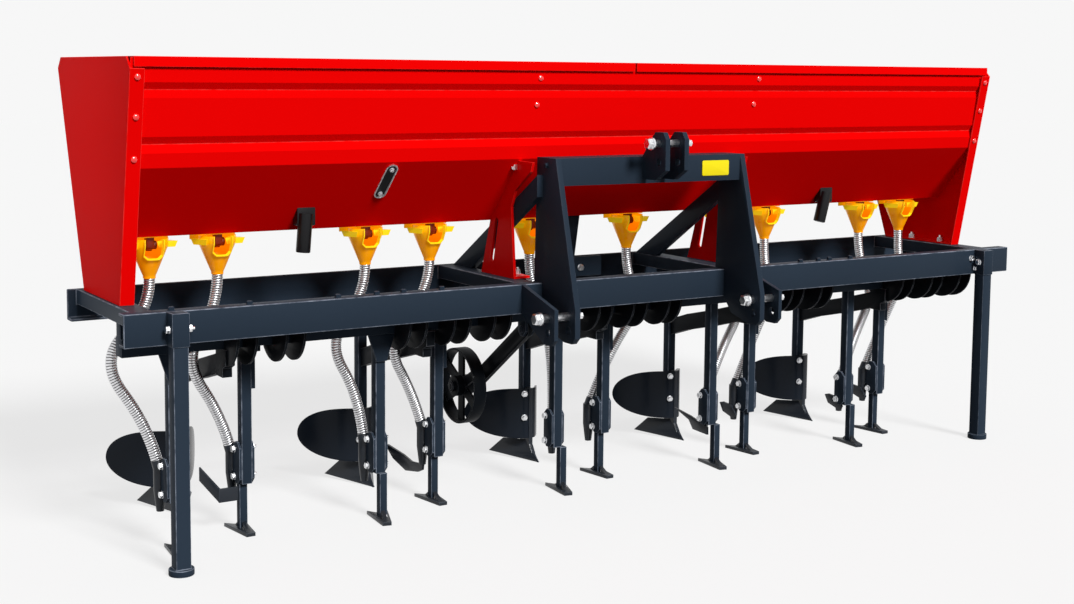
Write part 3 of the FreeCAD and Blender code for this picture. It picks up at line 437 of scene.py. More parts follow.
def straight_hose(length):
    """A wound hose along +Z from 0 to length, with its grooves marked."""
    bm = bmesh.new()
    groove = bm.verts.layers.float.new("groove")
    turns = math.ceil(length / HOSE_PITCH) + 2
    column = []
    for k in range(-1, turns):
        for rise, radius, depth in CRIMP:
            vert = bm.verts.new((HOSE_D / 2 * radius, 0.0, (k + rise) * HOSE_PITCH))
            vert[groove] = depth
            column.append(vert)
    edges = [bm.edges.new(pair) for pair in zip(column, column[1:])]
    bmesh.ops.spin(bm, geom=column + edges, cent=(0, 0, 0), axis=(0, 0, 1),
                   angle=2 * math.pi, steps=HOSE_SIDES, dvec=(0, 0, HOSE_PITCH / HOSE_SIDES),
                   use_duplicate=False)
    bmesh.ops.remove_doubles(bm, verts=bm.verts, dist=0.0002)
    for z, up in ((0.0, False), (length, True)):
        geom = bm.verts[:] + bm.edges[:] + bm.faces[:]
        bmesh.ops.bisect_plane(bm, geom=geom, plane_co=(0, 0, z), plane_no=(0, 0, 1),
                               clear_outer=up, clear_inner=not up)
    bmesh.ops.holes_fill(bm, edges=[e for e in bm.edges if e.is_boundary], sides=0)
    bmesh.ops.recalc_face_normals(bm, faces=bm.faces)
    return bm


def lay_along(bm, points):
    """Bend what stands along +Z on to the line of points, with no twist."""
    steps = [b - a for a, b in zip(points, points[1:])]
    reach = [0.0]
    for step in steps:
        reach.append(reach[-1] + step.length)
    across = steps[0].orthogonal().normalized()
    sides = []
    for i in range(len(points)):
        way = (steps[max(i - 1, 0)] + steps[min(i, len(steps) - 1)]).normalized()
        across = (across - way * across.dot(way)).normalized()
        sides.append((across.copy(), way.cross(across)))
    i = 0
    for vert in sorted(bm.verts, key=lambda v: v.co.z):
        while i < len(steps) - 1 and vert.co.z > reach[i + 1]:
            i += 1
        t = (vert.co.z - reach[i]) / steps[i].length
        middle = points[i].lerp(points[i + 1], t)
        ux, uy = (sides[i][k].lerp(sides[i + 1][k], t) for k in (0, 1))
        vert.co = middle + ux * vert.co.x + uy * vert.co.y


for name, points in lines.items():
    length = sum((b - a).length for a, b in zip(points, points[1:]))
    hose = straight_hose(length)
    lay_along(hose, points)
    piece = finish_mesh(hose, name + "_spiral", "base", HOSE_STEEL, math.radians(80))
    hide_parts(name)
    print(name, "measures", round(length, 3))

# %% [markdown]
# ## Rolled edges on the steelwork
#
# CAD leaves every edge as sharp as a knife. Folded sheet and square tube have round ones, and they
# are what catches the light. A copy of the CAD mesh is merged and its flat faces joined up again,
# then the bevel operator rolls each crease, and the new faces are marked for the lighter edge
# paint: partly a coat worn thin, partly a painted highlight.

# %% Roll the edges of a CAD node
BODY_OF = {}
for body, nodes in frame["record"]["behaviour"]["bodies"].items():
    for node in nodes:
        BODY_OF[node] = body


def cad_copy(node):
    """The node's own mesh, merged, with its flat triangles joined."""
    bm = bmesh.new()
    bm.from_mesh(frame["nodes"][node].data)
    bmesh.ops.remove_doubles(bm, verts=bm.verts, dist=0.00002)
    bmesh.ops.dissolve_limit(bm, angle_limit=math.radians(0.5), verts=bm.verts, edges=bm.edges)
    return bm


def roll_edges(bm, radius, segments=2, crease=CREASE):
    mark = bm.faces.layers.float.get("edge") or bm.faces.layers.float.new("edge")
    sharp = [e for e in bm.edges if len(e.link_faces) == 2 and e.calc_face_angle(0.0) > crease]
    made = bmesh.ops.bevel(bm, geom=sharp, offset=radius, offset_type="OFFSET", affect="EDGES",
                           segments=segments, profile=0.5, clamp_overlap=True, material=-1)
    # The new faces get the lighter edge paint: partly a worn coat, partly a painted highlight.
    for face in made["faces"]:
        face[mark] = 1.0


def round_corners(bm, radius, sheet):
    """Round the outline of plates thinner than sheet: bevel the short edges across them."""
    short = [e for e in bm.edges if e.calc_length() < sheet and len(e.link_faces) == 2
             and e.is_convex and e.calc_face_angle(0.0) > math.radians(12)]
    bmesh.ops.bevel(bm, geom=short, offset=radius, offset_type="OFFSET", affect="EDGES",
                    segments=6, profile=0.5, clamp_overlap=True, material=-1)


def dress(node, name, material, radius, crease=CREASE):
    """Stand a piece with rolled edges in for a CAD node; folds above crease stay crisp."""
    bm = cad_copy(node)
    if node in ROUNDED:
        round_corners(bm, *ROUNDED[node])
    roll_edges(bm, radius)
    piece = finish_mesh(bm, name, BODY_OF[node], material, crease)
    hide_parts(node)
    return piece


SHEET_CREASE = math.radians(7)
ROUNDED = {"sign_plate": (0.006, 0.0035), "hitch_mast": (0.024, 0.0185)}
STEELWORK = (
    ("frame", "main_frame", FRAME_PAINT, "frame_paint", 0.003),
    ("tool_bars", "tool_bar_tubes", FRAME_PAINT, "frame_paint", 0.004),
    ("unit_arms", "ridger_arms", SHADE_PAINT, "frame_paint", 0.002),
    ("hanger_plates", "half_round_plates", SHADE_PAINT, "frame_paint", 0.0015),
    ("hitch_mast", "hitch_headstock", FRAME_PAINT, "frame_paint", 0.003),
    ("hitch_pins", "hitch_pin_set", ZINC, "zinc", 0.0015),
    ("sign_plate", "blank_sign", SIGN_YELLOW, "sign_yellow", 0.001),
    ("hopper_panels", "hopper_ends", RED_PAINT, "hopper_paint", 0.002),
    ("hopper_trough", "hopper_shell", RED_PAINT, "hopper_paint", 0.0015),
    ("lid_left", "left_lid", RED_PAINT, "hopper_paint", 0.001),
    ("lid_right", "right_lid", RED_PAINT, "hopper_paint", 0.001),
    ("lid_hinges", "lid_hinge_rods", ZINC, "zinc", 0.001),
    ("hopper_brackets", "hopper_feet", BRACKET_RED, "hopper_paint", 0.0015),
    ("drive_plate", "drive_side_plate", FRAME_PAINT, "frame_paint", 0.001),
    ("tine_shanks", "tine_shank_tubes", FRAME_PAINT, "frame_paint", 0.003),
    ("tine_legs", "tine_leg_bars", FRAME_PAINT, "frame_paint", 0.002),
    ("tine_clamps", "tine_clamp_plates", FRAME_PAINT, "frame_paint", 0.0015),
    ("tine_brackets", "tine_bar_plates", FRAME_PAINT, "frame_paint", 0.0015),
    ("sweeps", "tine_shares", TOOL_PAINT, "tool_steel", 0.0015),
    ("knives", "side_knives", TOOL_PAINT, "tool_steel", 0.001),
    ("boots", "seed_boots", TOOL_PAINT, "boot_plastic", 0.001),
    ("ridger_shanks", "ridger_shank_tubes", FRAME_PAINT, "frame_paint", 0.003),
    ("ridger_shares", "ridger_points", TOOL_PAINT, "tool_steel", 0.0015),
    ("stand_sleeves", "stand_guides", FRAME_PAINT, "frame_paint", 0.001),
    ("stand_left", "left_stand", FRAME_PAINT, "frame_paint", 0.003),
    ("stand_right", "right_stand", FRAME_PAINT, "frame_paint", 0.003),
    ("arm_bracket", "wheel_arm_cheeks", FRAME_PAINT, "frame_paint", 0.0015),
    ("wheel_arm", "trailing_arm", SHADE_PAINT, "frame_paint", 0.0015),
    ("ground_wheel", "drive_wheel", SHADE_PAINT, "frame_paint", 0.0015),
)
for node, name, material, slot, radius in STEELWORK:
    dress(node, name, material, radius, SHEET_CREASE if "hopper" in slot else CREASE)

# %% [markdown]
# ## Metering funnels
#
# Each funnel is a moulded cup under an outlet of the trough. Its profile is spun into a cone, cut
# planes outline a U in the front, and the faces inside the U go. Extruding the edge that is left
# gives the lip, and a thickness makes the shell. A flange with two pointed ears, a rear plate and
# the metering wheel in the mouth complete it; the wheel's dark brown is painted shade for the
# shadowed inside of the mouth.

# %% Mould the funnels
FUNNEL_SIDES = 48
FUNNEL_PROFILE = ((0.0195, 0.841), (0.0195, 0.849), (0.0215, 0.853), (0.0400, 0.897),
                  (0.0580, 0.940), (0.0600, 0.946), (0.0600, 0.966))
WINDOW_HALF = 0.029
WINDOW_LOW = 0.903
WINDOW_CORNER = 0.012
LIP_REACH = 0.007
FUNNEL_SHEET = 0.003


def block(bm, low, high, radius=0.001, segments=2):
    """A block from corner to corner with rolled edges."""
    made = bmesh.ops.create_cube(bm, size=1.0)["verts"]
    size = [b - a for a, b in zip(low, high)]
    bmesh.ops.scale(bm, vec=size, verts=made)
    bmesh.ops.translate(bm, vec=[(a + b) / 2 for a, b in zip(low, high)], verts=made)
    edges = list({e for v in made for e in v.link_edges})
    bmesh.ops.bevel(bm, geom=edges, offset=radius, offset_type="OFFSET", affect="EDGES",
                    segments=segments, profile=0.5, material=-1)


def funnel_shell():
    """The cone with its lipped opening, on the Z axis and open to the front (-Y)."""
    bm = bmesh.new()
    lip = bm.faces.layers.float.new("lip")
    column = [bm.verts.new((0.0, r, z)) for r, z in FUNNEL_PROFILE]
    edges = [bm.edges.new(pair) for pair in zip(column, column[1:])]
    bmesh.ops.spin(bm, geom=column + edges, cent=(0, 0, 0), axis=(0, 0, 1), angle=2 * math.pi,
                   steps=FUNNEL_SIDES, dvec=(0, 0, 0), use_merge=True, use_duplicate=False)
    slant = Vector((1.0, 0.0, -1.0)).normalized()
    corner = Vector((WINDOW_HALF, 0.0, WINDOW_LOW + WINDOW_CORNER))
    cuts = [((0, 0, WINDOW_LOW), (0, 0, 1))]
    for side in (-1, 1):
        cuts.append(((side * WINDOW_HALF, 0, 0), (1, 0, 0)))
        cuts.append(((side * corner.x, 0, corner.z), (side * slant.x, 0, slant.z)))
    for place, way in cuts:
        front = [f for f in bm.faces if f.calc_center_median().y < -0.004]
        geom = front + list({e for f in front for e in f.edges})
        geom += list({v for f in front for v in f.verts})
        bmesh.ops.bisect_plane(bm, geom=geom, plane_co=place, plane_no=way, dist=0.00001)
    gone = []
    for face in bm.faces:
        c = face.calc_center_median()
        past = (Vector((abs(c.x), 0, c.z)) - corner).dot(slant)
        if c.y < -0.004 and abs(c.x) < WINDOW_HALF and c.z > WINDOW_LOW and past < 0:
            gone.append(face)
    bmesh.ops.delete(bm, geom=gone, context="FACES")
    top = FUNNEL_PROFILE[-1][1] - 0.0001
    rim = [e for e in bm.edges if e.is_boundary and min(v.co.z for v in e.verts) < top
           and max(v.co.z for v in e.verts) > FUNNEL_PROFILE[1][1]]
    made = bmesh.ops.extrude_edge_only(bm, edges=rim)["geom"]
    for vert in (g for g in made if isinstance(g, bmesh.types.BMVert)):
        vert.co.x *= 1.10
        vert.co.y -= LIP_REACH
        vert.co.z -= 0.002
    for face in (g for g in made if isinstance(g, bmesh.types.BMFace)):
        face[lip] = 1.0
    bmesh.ops.recalc_face_normals(bm, faces=bm.faces)
    bmesh.ops.solidify(bm, geom=bm.faces[:], thickness=FUNNEL_SHEET)
    bmesh.ops.recalc_face_normals(bm, faces=bm.faces)
    return bm


def funnel_flange(bm):
    """Two pointed ears beside the mouth, the outlet's plate and the plate behind."""
    lip = bm.faces.layers.float.new("lip")
    for side in (-1, 1):
        ear = add_cylinder(bm, 0.030, 0.938, 0.957, 3, 0.038)
        turn = Matrix.Rotation(math.radians(90 * side - 90), 4, "Z")
        tip = Matrix.Translation((side * 0.050, -0.010, 0)) @ turn
        bmesh.ops.transform(bm, matrix=tip, verts=ear)
        for face in {f for v in ear for f in v.link_faces}:
            face[lip] = 1.0
    block(bm, (-0.048, -0.034, 0.9705), (0.048, 0.040, 0.974))
    block(bm, (-0.075, 0.040, 0.951), (0.075, 0.046, 0.974))


def metering_wheel(bm):
    """A fluted wheel on a short square shaft, under the outlet."""
    for k in range(3):
        made = add_cylinder(bm, 0.014 + 0.005 * (k % 2), -0.024 + 0.016 * k, -0.010 + 0.016 * k, 10)
        turn = Matrix.Translation((0.0, 0.0, 0.944)) @ Matrix.Rotation(math.radians(90), 4, "Y")
        bmesh.ops.transform(bm, matrix=turn, verts=made)
    block(bm, (-0.012, -0.020, 0.936), (0.012, 0.010, 0.972), 0.003)


# %% [markdown]
# ## Where the solids are
#
# Hardware sits on the solids, so its places are read from them. Several like solids share a node;
# walking from face to face splits it into its islands again, and each gives its box.

# %% Find the separate solids of a node


def solid_boxes(node):
    """(lowest, highest) corner of every solid of a node, from left to right."""
    bm = cad_copy(node)
    left = set(bm.verts)
    found = []
    while left:
        start = left.pop()
        island, front = [start], [start]
        while front:
            for edge in front.pop().link_edges:
                for vert in edge.verts:
                    if vert in left:
                        left.remove(vert)
                        island.append(vert)
                        front.append(vert)
        low = Vector(min(v.co[i] for v in island) for i in range(3))
        high = Vector(max(v.co[i] for v in island) for i in range(3))
        found.append((low, high))
    bm.free()
    return sorted(found, key=lambda box: (box[0].x + box[1].x))


def middle(box):
    return (box[0] + box[1]) / 2


shanks = [middle(box) for box in solid_boxes("tine_shanks")]
ridgers = [middle(box) for box in solid_boxes("ridger_shanks")]
print(len(shanks), "tines and", len(ridgers), "ridgers")

# %% [markdown]
# ## Mouldboards
#
# Each ridger carries two dished sheets that sweep back from the frog to a rounded tip. A flat grid
# is drawn out to that outline and bent back, then it gets its thickness and rolled edges. The
# places and reaches are those of the CAD sheets.

# %% Press the mouldboards
WING_SHEET = 0.006
WING_TIP = 0.46


def mouldboard(low, high, side):
    """A dished sheet between the corners low and high, its tip on the side given (-1 or 1)."""
    bm = bmesh.new()
    frog, tip = (high.x, low.x) if side < 0 else (low.x, high.x)
    back = high.y - low.y - WING_SHEET
    waist = low.z + (high.z - low.z) * WING_TIP
    grid = bmesh.ops.create_grid(bm, x_segments=24, y_segments=18, size=0.5)
    for vert in grid["verts"]:
        reach = math.sin((vert.co.x + 0.5) * math.pi / 2)
        swell = 2 * vert.co.y * max(0.0, 1 - reach ** 3.2) ** 0.5
        rise = high.z - waist if swell > 0 else waist - low.z
        vert.co = (frog + (tip - frog) * reach, low.y + WING_SHEET / 2 + back * reach ** 1.5,
                   waist + rise * swell)
    bmesh.ops.remove_doubles(bm, verts=bm.verts, dist=0.0004)
    bmesh.ops.recalc_face_normals(bm, faces=bm.faces)
    if sum(face.normal.y * face.calc_area() for face in bm.faces) < 0:
        bmesh.ops.reverse_faces(bm, faces=bm.faces)
    bmesh.ops.solidify(bm, geom=bm.faces[:], thickness=WING_SHEET)
    roll_edges(bm, 0.0012, crease=math.radians(50))
    return bm


boards = bmesh.new()
for low, high in solid_boxes("ridger_wings"):
    near = min(ridgers, key=lambda shank: abs(shank.x - (low.x + high.x) / 2))
    side = -1 if low.x + high.x < 2 * near.x else 1
    merge_into(boards, mouldboard(low, high, side))
spread = [(min(v.co[i] for v in boards.verts), max(v.co[i] for v in boards.verts))
          for i in range(3)]
print("boards", [tuple(round(c, 4) for c in pair) for pair in spread])
piece = finish_mesh(boards, "mouldboards", "base", BOARD_PAINT)
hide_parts("ridger_wings")

# %% [markdown]
# ## Bolts
#
# Real bolts are a hexagon with a chamfered top over a washer, and on the far side a nut with a bit
# of thread past it. Each shape is made once by operators, kept as a mesh, and then copied to every
# place with a matrix that turns its axis the way the bolt points.

# %% Make a bolt head, a nut and a rivet


def keep_shape(bm, name):
    mesh = bpy.data.meshes.new(name)
    bmesh.ops.recalc_face_normals(bm, faces=bm.faces)
    bm.to_mesh(mesh)
    bm.free()
    return mesh


def add_cylinder(bm, radius, z0, z1, sides, top=None):
    """A cylinder or cone on the Z axis; returns its vertices."""
    made = bmesh.ops.create_cone(bm, cap_ends=True, segments=sides, radius1=radius,
                                 radius2=radius if top is None else top, depth=z1 - z0)
    bmesh.ops.translate(bm, vec=(0, 0, (z0 + z1) / 2), verts=made["verts"])
    return made["verts"]


def hexagon(bm, flats, z0, z1):
    """A hexagon across the given flats, chamfered round its top."""
    verts = add_cylinder(bm, flats / math.sqrt(3), z0, z1, 6)
    rim = {e for v in verts if v.co.z > (z0 + z1) / 2 for e in v.link_edges
           if e.other_vert(v).co.z > (z0 + z1) / 2}
    bmesh.ops.bevel(bm, geom=list(rim), offset=flats * 0.09, offset_type="OFFSET",
                    affect="EDGES", segments=1, profile=0.5, material=-1)


def bolt_head():
    """Head of a bolt of unit size across the flats."""
    bm = bmesh.new()
    add_cylinder(bm, 0.64, 0.0, 0.10, 16)
    hexagon(bm, 1.0, 0.10, 0.62)
    return keep_shape(bm, "bolt_head")


def nut_end():
    bm = bmesh.new()
    add_cylinder(bm, 0.64, 0.0, 0.10, 16)
    hexagon(bm, 1.0, 0.10, 0.80)
    add_cylinder(bm, 0.30, 0.5, 1.15, 10, 0.25)
    return keep_shape(bm, "nut_end")


def dome():
    bm = bmesh.new()
    bmesh.ops.create_uvsphere(bm, u_segments=12, v_segments=6, radius=0.5)
    bmesh.ops.bisect_plane(bm, geom=bm.verts[:] + bm.edges[:] + bm.faces[:], plane_co=(0, 0, 0),
                           plane_no=(0, 0, 1), clear_inner=True)
    bmesh.ops.holes_fill(bm, edges=[e for e in bm.edges if e.is_boundary], sides=0)
    bmesh.ops.scale(bm, vec=(1, 1, 0.6), verts=bm.verts)
    return keep_shape(bm, "dome")


BOLT, NUT, DOME = bolt_head(), nut_end(), dome()


def aim(place, way, size=1.0):
    """The matrix that stands a shape's Z axis along way at place, at that size."""
    turn = Vector(way).to_track_quat("Z", "X").to_matrix().to_4x4()
    return Matrix.Translation(place) @ turn @ Matrix.Scale(size, 4)


def stamp(bm, shape, matrix):
    """Add a kept shape to bm at a matrix."""
    before = set(bm.verts)
    bm.from_mesh(shape)
    bmesh.ops.transform(bm, matrix=matrix, verts=[v for v in bm.verts if v not in before])


def through_bolt(bm, start, end, size):
    """A head on start and a nut on end, both facing away from each other."""
    start, end = Vector(start), Vector(end)
    stamp(bm, BOLT, aim(start, start - end, size))
    stamp(bm, NUT, aim(end, end - start, size))


print("bolt head", len(BOLT.polygons), "faces, nut", len(NUT.polygons), "faces")

# %% Set the funnels under the trough
shell = keep_shape(funnel_shell(), "funnel_shell")
wheel = bmesh.new()
metering_wheel(wheel)
wheel = keep_shape(wheel, "metering_wheel")
flange = bmesh.new()
funnel_flange(flange)
flange = keep_shape(flange, "funnel_flange")
cups, wheels = bmesh.new(), bmesh.new()
for name in sorted(HOSE_ROUTES):
    place = Matrix.Translation((*HOSE_ROUTES[name][0][:2], 0.0))
    stamp(cups, shell, place)
    stamp(cups, flange, place)
    stamp(wheels, wheel, place)
cups = finish_mesh(cups, "metering_funnels", "base", FUNNEL_PLASTIC)
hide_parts("funnels")
wheels = finish_mesh(wheels, "metering_wheels", "base", METER_PAINTED_SHADE)

# %% [markdown]
# ## Bolts on the tools
#
# Two bolts clamp each tine's leg and boot between the side plates, one above the other behind the
# shank. Two more hold every ridger's mouldboards to the frog. They are new and bright, the one
# lively note on the dark tools.

# %% Bolt the tines and the ridgers
TOOL_BOLT = 0.019
CLAMP_BOLT_BEHIND = 0.024
CLAMP_BOLT_HEIGHTS = (0.181, 0.271)
clamp_boxes = solid_boxes("tine_clamps")
tine_bolts = bmesh.new()
for shank in shanks:
    plates = [b for b in clamp_boxes if abs(middle(b).x - shank.x) < 0.05
              and abs(b[0].y - shank.y + 0.018) < 0.01]
    x0, x1 = min(b[0].x for b in plates), max(b[1].x for b in plates)
    for z in CLAMP_BOLT_HEIGHTS:
        y = shank.y + CLAMP_BOLT_BEHIND
        through_bolt(tine_bolts, (x0, y, z), (x1, y, z), TOOL_BOLT)
piece = finish_mesh(tine_bolts, "tine_bolts", "base", ZINC)

PIN_HEAD = 0.034
PIN_STUB = 0.020
pin_ends = bmesh.new()
for box in solid_boxes("hitch_pins"):
    y, z = middle(box).y, middle(box).z
    stamp(pin_ends, BOLT, aim((box[0].x + 0.002, y, z), (-1, 0, 0), PIN_HEAD))
    stamp(pin_ends, BOLT, aim((box[1].x - 0.001, y, z), (1, 0, 0), PIN_STUB))
piece = finish_mesh(pin_ends, "hitch_pin_nuts", "base", ZINC)

RIDGER_BOLT_HEIGHTS = (0.165, 0.258)
ridger_bolts = bmesh.new()
for shank in ridgers:
    for z in RIDGER_BOLT_HEIGHTS:
        stamp(ridger_bolts, BOLT, aim((shank.x - 0.026, shank.y - 0.043, z), (-0.25, -1, 0),
                                      TOOL_BOLT))
piece = finish_mesh(ridger_bolts, "ridger_bolts", "base", ZINC)

# %% [markdown]
# ## Hardware on the hopper and the frame
#
# A ray cast at the CAD meshes finds the surface that each bolt, rivet or stud sits on, so nothing
# hovers or sinks. The hopper has red rivets, an obround window plate on its slope and two black
# grips under its edge. The beam carries dark studs, and zinc bolts hold the brackets and stands.

# %% Cast rays at the solids
from mathutils.bvhtree import BVHTree


def tree_of(node):
    mesh = frame["nodes"][node].data
    return BVHTree.FromPolygons([v.co for v in mesh.vertices],
                                [tuple(p.vertices) for p in mesh.polygons])


TREES = {node: tree_of(node) for node in ("hopper_trough", "hopper_panels", "hopper_brackets",
                                          "frame", "tool_bars", "hitch_mast", "tine_legs",
                                          "ridger_shares")}


def seat(nodes, start, way):
    """The nearest point of those nodes seen from start along way."""
    way = Vector(way).normalized()
    hits = [TREES[node].ray_cast(Vector(start), way) for node in nodes]
    hits = [hit for hit in hits if hit[0] is not None]
    return min(hits, key=lambda hit: hit[3])[0]


BACK, DOWN, RIGHT = (0, 1, 0), (0, 0, -1), (1, 0, 0)
print("rays can hit", len(TREES), "nodes")

# %% Rivet the hopper
RIVET = 0.021
FLANGE_RIVETS = (1.466, 1.350, 1.226)
SEAM_RIVETS = ((-0.420, 1.471), (-0.424, 1.381), (0.531, 1.474), (0.523, 1.381))
ends = solid_boxes("hopper_panels")
rivets = bmesh.new()
places = [(x, z) for x in (ends[0][0].x + 0.024, ends[-1][1].x - 0.024) for z in FLANGE_RIVETS]
for x, z in places + list(SEAM_RIVETS):
    point = seat(("hopper_panels", "hopper_trough"), (x, -1.0, z), BACK)
    stamp(rivets, DOME, aim(point, (0, -1, 0), RIVET))
piece = finish_mesh(rivets, "hopper_rivets", "base", RIVET_RED)

# %% Fit the window plate and the grips
WINDOW_ENDS = ((-0.951, 1.094), (-0.944, 1.176))
WINDOW_HALF_WIDTH = 0.021
GRIP_PLACES = ((-1.196, 1.042, -1.206, 0.906), (1.050, 1.034, 1.018, 0.908))
GRIP_RADIUS = 0.0235


def obround(start, end, radius, depth):
    """An obround plate from start to end that faces the front, with a sunk window."""
    start, end = Vector(start), Vector(end)
    along = (end - start).normalized()
    out = Vector((0, -1, 0)) - along * Vector((0, -1, 0)).dot(along)
    out.normalize()
    side = along.cross(out)
    bm = bmesh.new()
    arcs = []
    for centre, first in ((end, 0), (start, 180)):
        for k in range(13):
            turn = math.radians(first + 15 * k)
            arcs.append(centre + side * radius * math.cos(turn) + along * radius * math.sin(turn))
    face = bm.faces.new([bm.verts.new(place) for place in arcs])
    made = bmesh.ops.extrude_face_region(bm, geom=[face])["geom"]
    bmesh.ops.translate(bm, vec=out * depth, verts=[g for g in made
                                                    if isinstance(g, bmesh.types.BMVert)])
    front = next(g for g in made if isinstance(g, bmesh.types.BMFace))
    bmesh.ops.inset_region(bm, faces=[front], thickness=0.004, depth=0.0)
    bmesh.ops.inset_region(bm, faces=[front], thickness=0.001, depth=-0.003)
    front.material_index = 1
    bmesh.ops.recalc_face_normals(bm, faces=bm.faces)
    return bm, out


low, high = (seat(("hopper_trough",), (x, -1.0, z), BACK) for x, z in WINDOW_ENDS)
window, facing = obround(low, high, WINDOW_HALF_WIDTH, 0.006)
for place in (low, high):
    stamp(window, BOLT, aim(place + facing * 0.004, facing, 0.013))
piece = finish_mesh(window, "hopper_window", "base", [ZINC, BLACK_PLASTIC])

grips = bmesh.new()
for x, z, x_end, z_end in GRIP_PLACES:
    top = seat(("hopper_trough",), (x, -1.0, z), BACK)
    block(grips, (x - 0.030, top.y - 0.008, z - 0.050), (x + 0.034, top.y + 0.030, z + 0.018), 0.004)
    start = Vector((x, top.y - 0.006, z - 0.010))
    end = Vector((x_end, top.y - 0.006, z_end))
    made = add_cylinder(grips, GRIP_RADIUS, 0.0, (end - start).length, 24)
    rim = list({e for v in made for e in v.link_edges if len({f.normal.z > 0.5 for f in
                e.link_faces}) == 2})
    bmesh.ops.transform(grips, matrix=aim(start, end - start), verts=made)
    bmesh.ops.bevel(grips, geom=[e for e in rim if e.is_valid], offset=0.003, affect="EDGES",
                    offset_type="OFFSET", segments=2, profile=0.5, material=-1)
piece = finish_mesh(grips, "hopper_grips", "base", BLACK_PLASTIC)

# %% Bolt the frame together
STUD = 0.017
FRAME_BOLT = 0.020
STUD_PLACES = (-1.711, -1.468, -1.176, -1.042, -0.947, -0.808, 0.737, 0.827, 0.884, 0.992)
STUD_Y = -0.276
BEAM_BOLTS = ((1.668, 0.707), (1.643, 0.750))
FOOT_BOLTS = ((-0.420, -0.112), (-0.420, -0.035))
END_BOLTS = ((1.735, 0.120), (1.735, -0.042))
studs = bmesh.new()
for x in STUD_PLACES:
    point = seat(("frame",), (x, STUD_Y, 0.95), DOWN)
    stamp(studs, BOLT, aim(point, (0, 0, 1), STUD))
point = seat(("hitch_mast",), (-1.0, -0.325, 1.182), RIGHT)
stamp(studs, BOLT, aim(point, (-1, 0, 0), 0.016))
piece = finish_mesh(studs, "beam_studs", "base", FRAME_PAINT)

lug = bmesh.new()
rear = max(solid_boxes("tool_bars"), key=lambda box: box[1].y)
front = rear[0].y
print("rear bar", [round(c, 4) for c in (*rear[0], *rear[1])])
block(lug, (-0.052, front, rear[1].z - 0.002), (0.084, front + 0.008, 0.806), 0.002)
piece = finish_mesh(lug, "rear_bar_lug", "base", FRAME_PAINT)

bolts = bmesh.new()
stamp(bolts, BOLT, aim((-0.012, front, 0.766), (0, -1, 0), FRAME_BOLT))
for box in solid_boxes("stand_sleeves"):
    y = middle(box).y
    through_bolt(bolts, (box[0].x, y, 0.735), (box[1].x, y, 0.735), FRAME_BOLT)
for x, z in BEAM_BOLTS:
    point = seat(("frame", "tool_bars"), (x, -1.0, z), BACK)
    stamp(bolts, BOLT, aim(point, (0, -1, 0), FRAME_BOLT))
for x, y in FOOT_BOLTS:
    point = seat(("hopper_brackets", "frame"), (x, y, 0.90), DOWN)
    stamp(bolts, NUT, aim(point, (0, 0, 1), FRAME_BOLT))
point = seat(("hopper_brackets", "hopper_trough"), (-0.476, -1.0, 1.170), BACK)
stamp(bolts, BOLT, aim(point, (0, -1, 0), 0.019))
for x, y in END_BOLTS:
    point = seat(("frame", "hopper_panels"), (x, y, 0.90), DOWN)
    stamp(bolts, NUT, aim(point, (0, 0, 1), 0.022))
for box in solid_boxes("tine_legs"):
    stamp(bolts, BOLT, aim((middle(box).x, box[0].y - 0.010, 0.014), (0, -0.35, 1), 0.013))
piece = finish_mesh(bolts, "frame_bolts", "base", ZINC)

# %% [markdown]
# ## Floor and light
#
# The machine stands in a pale studio. One large soft lamp from the right front models the shapes,
# and the world fills the shadows. The floor's tone is worked out from the two, so that where it
# is open it renders exactly as bright as the backdrop and no horizon shows. It is pale to the
# camera and in reflections: as a light it is dark, so what faces down stays deep in colour. Most
# of its tone glows, which keeps the shadows faint.

# %% Build the studio
BACKDROP = 0.93
WORLD_FILL = 0.30
SUN_STRENGTH = 3.3
SUN_ANGLE = 16.0
SUN_HEADING = 6.0
SUN_HEIGHT = 38.0
END_POWER = 2.1
FLOOR_REACH = 40.0
FLOOR_BOUNCE = 0.10
SHADOW_DEPTH = 0.22
FLOOR_TONE = BACKDROP / (WORLD_FILL + SUN_STRENGTH * math.sin(math.radians(SUN_HEIGHT)) / math.pi)


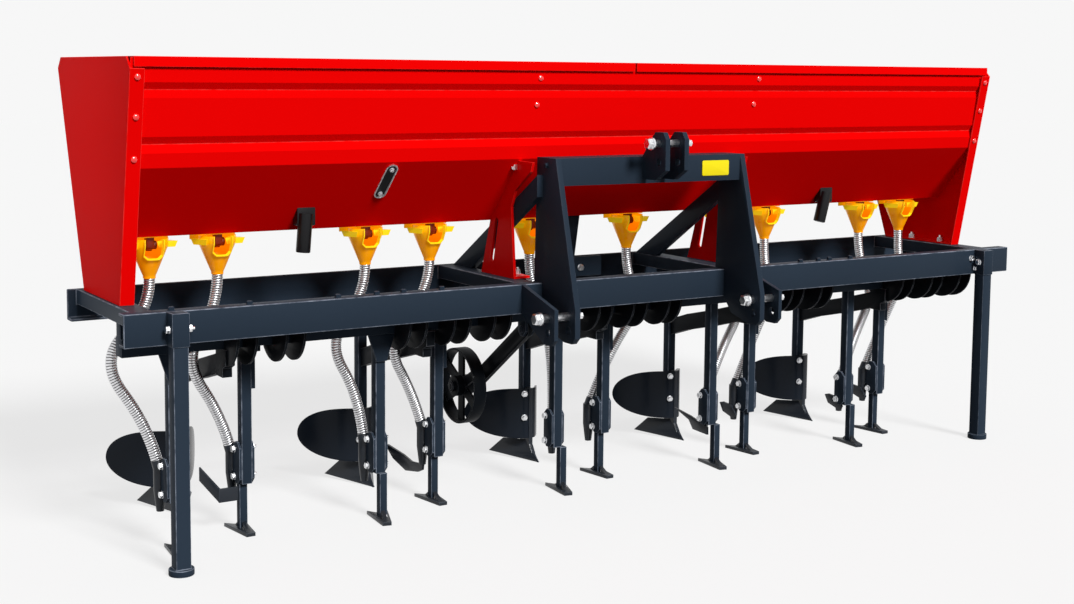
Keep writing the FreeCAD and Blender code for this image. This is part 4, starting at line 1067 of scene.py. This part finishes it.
def studio_floor():
    bm = bmesh.new()
    bmesh.ops.create_grid(bm, x_segments=8, y_segments=8, size=FLOOR_REACH)
    recipe = Recipe("studio_floor")
    speck = recipe.noise(2.0, 3.0)
    tones = [rgb(*[FLOOR_TONE * SHADOW_DEPTH * step] * 3) for step in (0.99, 1.01)]
    pale = recipe.mix(speck, *tones)
    path = recipe.node("ShaderNodeLightPath")
    seen = path["Is Camera Ray"] + path["Is Glossy Ray"]
    glow = rgb(*[BACKDROP * (1 - SHADOW_DEPTH)] * 3)
    recipe.set(
        Base_Color=recipe.mix(seen, rgb(*[FLOOR_BOUNCE] * 3), pale),
        Emission_Color=recipe.mix(seen, rgb(0.0, 0.0, 0.0), glow),
        Emission_Strength=1.0,
        Roughness=1.0,
        Specular_IOR_Level=0.0,
    )
    mesh = bpy.data.meshes.new("studio_floor")
    bm.to_mesh(mesh)
    bm.free()
    mesh.materials.append(recipe.material)
    floor = bpy.data.objects.new("studio_floor", mesh)
    bpy.context.collection.objects.link(floor)
    return floor


def studio_world():
    """Pale to the camera and in reflections, dimmer to everything that the world lights."""
    world = bpy.data.worlds.new("studio")
    bpy.context.scene.world = world
    world.use_nodes = True
    nodes, links = world.node_tree.nodes, world.node_tree.links
    background = nodes["Background"]
    background.inputs["Color"].default_value = rgb(1.0, 1.0, 1.0)
    path = nodes.new("ShaderNodeLightPath")
    seen = nodes.new("ShaderNodeMath")
    seen.operation = "ADD"
    links.new(path.outputs["Is Camera Ray"], seen.inputs[0])
    links.new(path.outputs["Is Glossy Ray"], seen.inputs[1])
    level = nodes.new("ShaderNodeMapRange")
    level.inputs["To Min"].default_value = WORLD_FILL
    level.inputs["To Max"].default_value = BACKDROP
    links.new(seen.outputs[0], level.inputs["Value"])
    links.new(level.outputs[0], background.inputs["Strength"])


def sun():
    lamp = bpy.data.lights.new("key_light", "SUN")
    lamp.energy = SUN_STRENGTH
    lamp.angle = math.radians(SUN_ANGLE)
    holder = bpy.data.objects.new("key_light", lamp)
    bpy.context.collection.objects.link(holder)
    tilt = Matrix.Rotation(math.radians(90 - SUN_HEIGHT), 4, "X")
    holder.matrix_world = Matrix.Rotation(math.radians(SUN_HEADING), 4, "Z") @ tilt


def end_lamp():
    """A small soft lamp off the left end, so that the end panel keeps its red."""
    lamp = bpy.data.lights.new("end_light", "AREA")
    lamp.energy = END_POWER
    lamp.size = 0.9
    lamp.spread = math.radians(80)
    holder = bpy.data.objects.new("end_light", lamp)
    bpy.context.collection.objects.link(holder)
    holder.matrix_world = (Matrix.Translation((cad_box[0][0] - 1.5, 0.2, 1.35))
                           @ Matrix.Rotation(math.radians(-90), 4, "Y"))
    holder.visible_camera = False
    holder.visible_glossy = False


studio_floor()
studio_world()
sun()
end_lamp()
bpy.context.scene.view_settings.view_transform = "Standard"
print("studio ready")
